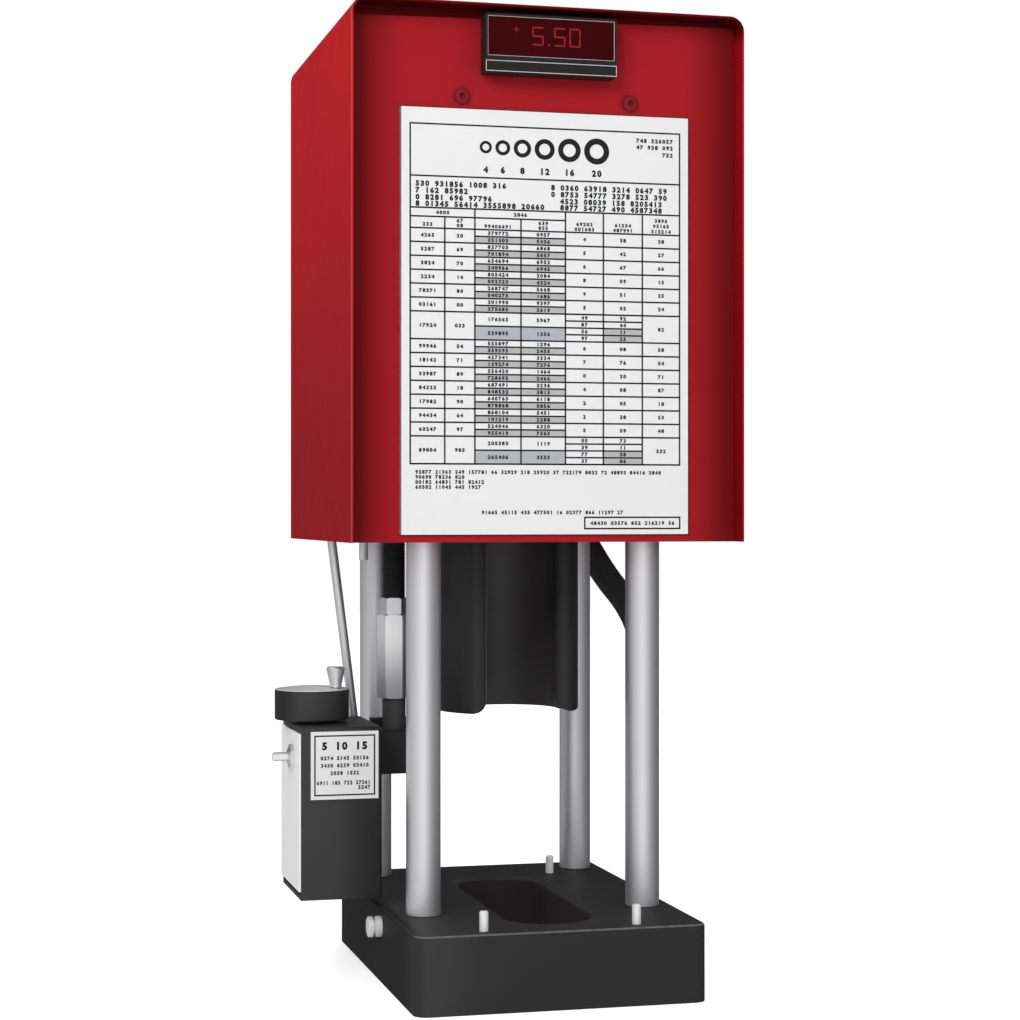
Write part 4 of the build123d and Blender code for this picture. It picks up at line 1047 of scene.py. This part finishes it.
def lathe(profile, centre, sides=64):
    """A turned shape about an upright axis: profile is (radius, height) from below."""
    x, y = centre
    points = []
    for radius, height in profile:
        for i in range(sides):
            angle = 2 * math.pi * i / sides
            points.append((x + radius * math.cos(angle), y + radius * math.sin(angle), height))
    return points, skin(len(profile), sides)


def thread(centre, radius, low, high, pitch, depth, sides=40, steps=6):
    """A round bar with a cut thread: the groove climbs one pitch a turn."""
    x, y = centre
    rows = int(round((high - low) / pitch * steps))
    points = []
    wave = [0.0, 0.55, 1.0, 1.0, 0.55, 0.0]
    for row in range(rows + 1):
        height = low + (high - low) * row / rows
        for i in range(sides):
            phase = (height / pitch - i / sides) % 1.0 * steps
            first = int(phase) % steps
            share = phase - int(phase)
            cut = wave[first] * (1 - share) + wave[(first + 1) % steps] * share
            reach = radius - depth * (1 - cut)
            if row in (0, rows):
                reach = radius - depth
            angle = 2 * math.pi * i / sides
            points.append((x + reach * math.cos(angle), y + reach * math.sin(angle), height))
    return points, skin(rows + 1, sides)


def make_thread(finishes):
    """The follower rod's thread, over its whole length between the yoke and the nut."""
    low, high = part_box("follower_rod")
    _, nut_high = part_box("lock_nut")
    yoke_low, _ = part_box("follower_yoke")
    clear, pitch, depth = 0.0002, 0.0018, 0.0009
    centre = ((low.x + high.x) / 2, (low.y + high.y) / 2)
    radius = (high.x - low.x) / 2
    foot, top = nut_high.z + clear, yoke_low.z - clear
    mesh = mesh_of("follower_rod_thread", *thread(centre, radius, foot, top, pitch, depth))
    oxide = finishes["black_oxide"]
    piece = add_piece("follower_rod_thread", mesh, "ram", oxide, True)
    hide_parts("follower_rod")


def make_spring(finishes):
    """The return spring round the ram."""
    low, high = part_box("return_spring")
    x, y = (low.x + high.x) / 2, (low.y + high.y) / 2
    wire, turns, steps, sides = 0.0035, 6, 36, 12
    mean = (high.x - low.x) / 2 - wire
    lift = high.z - low.z - 2 * wire
    rows = turns * steps + 1
    points = []
    for row in range(rows):
        angle = 2 * math.pi * row / steps
        height = low.z + wire + lift * row / (rows - 1)
        for side in range(sides):
            turn = 2 * math.pi * side / sides
            reach = mean + wire * math.cos(turn)
            around = (x + reach * math.cos(angle), y + reach * math.sin(angle))
            points.append((*around, height + wire * math.sin(turn)))
    outward = [face[:1] + face[:0:-1] for face in skin(rows, sides)]
    mesh = mesh_of("return_spring_coil", points, outward)
    piece = add_piece("return_spring_coil", mesh, "frame", finishes["zinc"], True)
    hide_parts("return_spring")
    joints = frame["record"]["behaviour"]["joints"]
    stroke = [joint for joint in joints if joint["name"] == "ram_slide"][0]["range_m"][1]
    1 - stroke / (high.z - low.z)
    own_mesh(piece)


def make_dial(finishes):
    """The dial's crowned face, turned from the middle out to the rim's edge."""
    low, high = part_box("dial_rim")
    centre = ((low.x + high.x) / 2, (low.y + high.y) / 2)
    inset, lift, rise, steps = 0.0004, 0.0001, 0.0023, 14
    reach = (high.x - low.x) / 2 - inset
    crown = (reach * reach + rise * rise) / (2 * rise)
    profile = [(reach, high.z - inset)]
    for step in range(steps):
        radius = reach * (1 - step / steps)
        height = math.sqrt(crown * crown - radius * radius) - (crown - rise)
        profile.append((radius, high.z + lift + height))
    profile.append((0.0002, high.z + lift + rise))
    mesh = mesh_of("dial_crowned_face", *lathe(profile, centre))
    turned = finishes["dial_face"]
    piece = add_piece("dial_crowned_face", mesh, "dial", turned, True)
    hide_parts("dial_face")


def make_screws(finishes):
    """The two button heads on the front panel."""
    low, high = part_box("panel_screws")
    panel_low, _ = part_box("front_panel")
    coat = finishes["red_screw"]
    head, socket, crown = (high.z - low.z) / 2, 4.0 * MM, 2.6 * MM
    places = [(x, panel_low.y, (low.z + high.z) / 2) for x in (low.x + head, high.x - head)]
    shape = screw_mesh("button_head", head, panel_low.y - low.y, socket, crown)
    turn = (math.radians(90), 0, 0)
    mesh = place_fasteners("panel_button_screws", shape, places, turn, coat)
    piece = add_piece("panel_button_screws", mesh, "frame", coat, True)
    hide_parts("panel_screws")


# ------------------------------------------------------------------------- main
def dress_nodes(finishes):
    """Give every CAD node that no other piece replaces its finish."""
    worn = {
        "red_paint": "hood panel_rail hood_brackets",
        "red_panel": "front_panel",
        "ground_steel": "column_front_left column_rear_left column_front_right "
        "column_rear_right ram piston dial_spindle brace_rod crank_knob",
        "bright_plate": "stop_peg locating_pins base_post",
        "turned_steel": "push_button",
        "zinc_collar": "button_bush",
        "plated": "hex_coupling",
        "zinc": "column_nuts tie_bolts piston_nut yoke_nut lock_nut pusher_bolts "
        "port_elbow hose_ferrule hose_coupler carriage button_nut brace_lug knob_pin",
        "pusher_black": "pusher",
        "black_oxide": "trip_arm follower_yoke platen cap_screws",
        "worn_oxide": "follower_stud",
        "black_cast": "base",
        "black_paint": "box_body box_lid box_foot dial_rim",
        "black_plastic": "display_bezel limit_switch",
        "white_plate": "chart_plate box_label",
        "white_cover": "side_cover",
        "grey_iron": "cylinder_barrel cylinder_cap",
        "bronze": "gland",
        "rubber": "piston_seal rod_seal",
        "board": "display_board",
        "red_window": "display_window",
    }
    for finish, names in worn.items():
        for name in names.split():
            for entry in nodes[name].material_slots:
                entry.material = finishes[finish].material


set_camera()
light_studio()
make_floor()
finishes = make_finishes()
make_hose(finishes)
dress_nodes(finishes)
make_chart(finishes)
make_box_label(finishes)
make_display(finishes)
make_thread(finishes)
make_spring(finishes)
make_dial(finishes)
make_screws(finishes)

view = bpy.context.scene.view_settings
view.view_transform = "Standard"
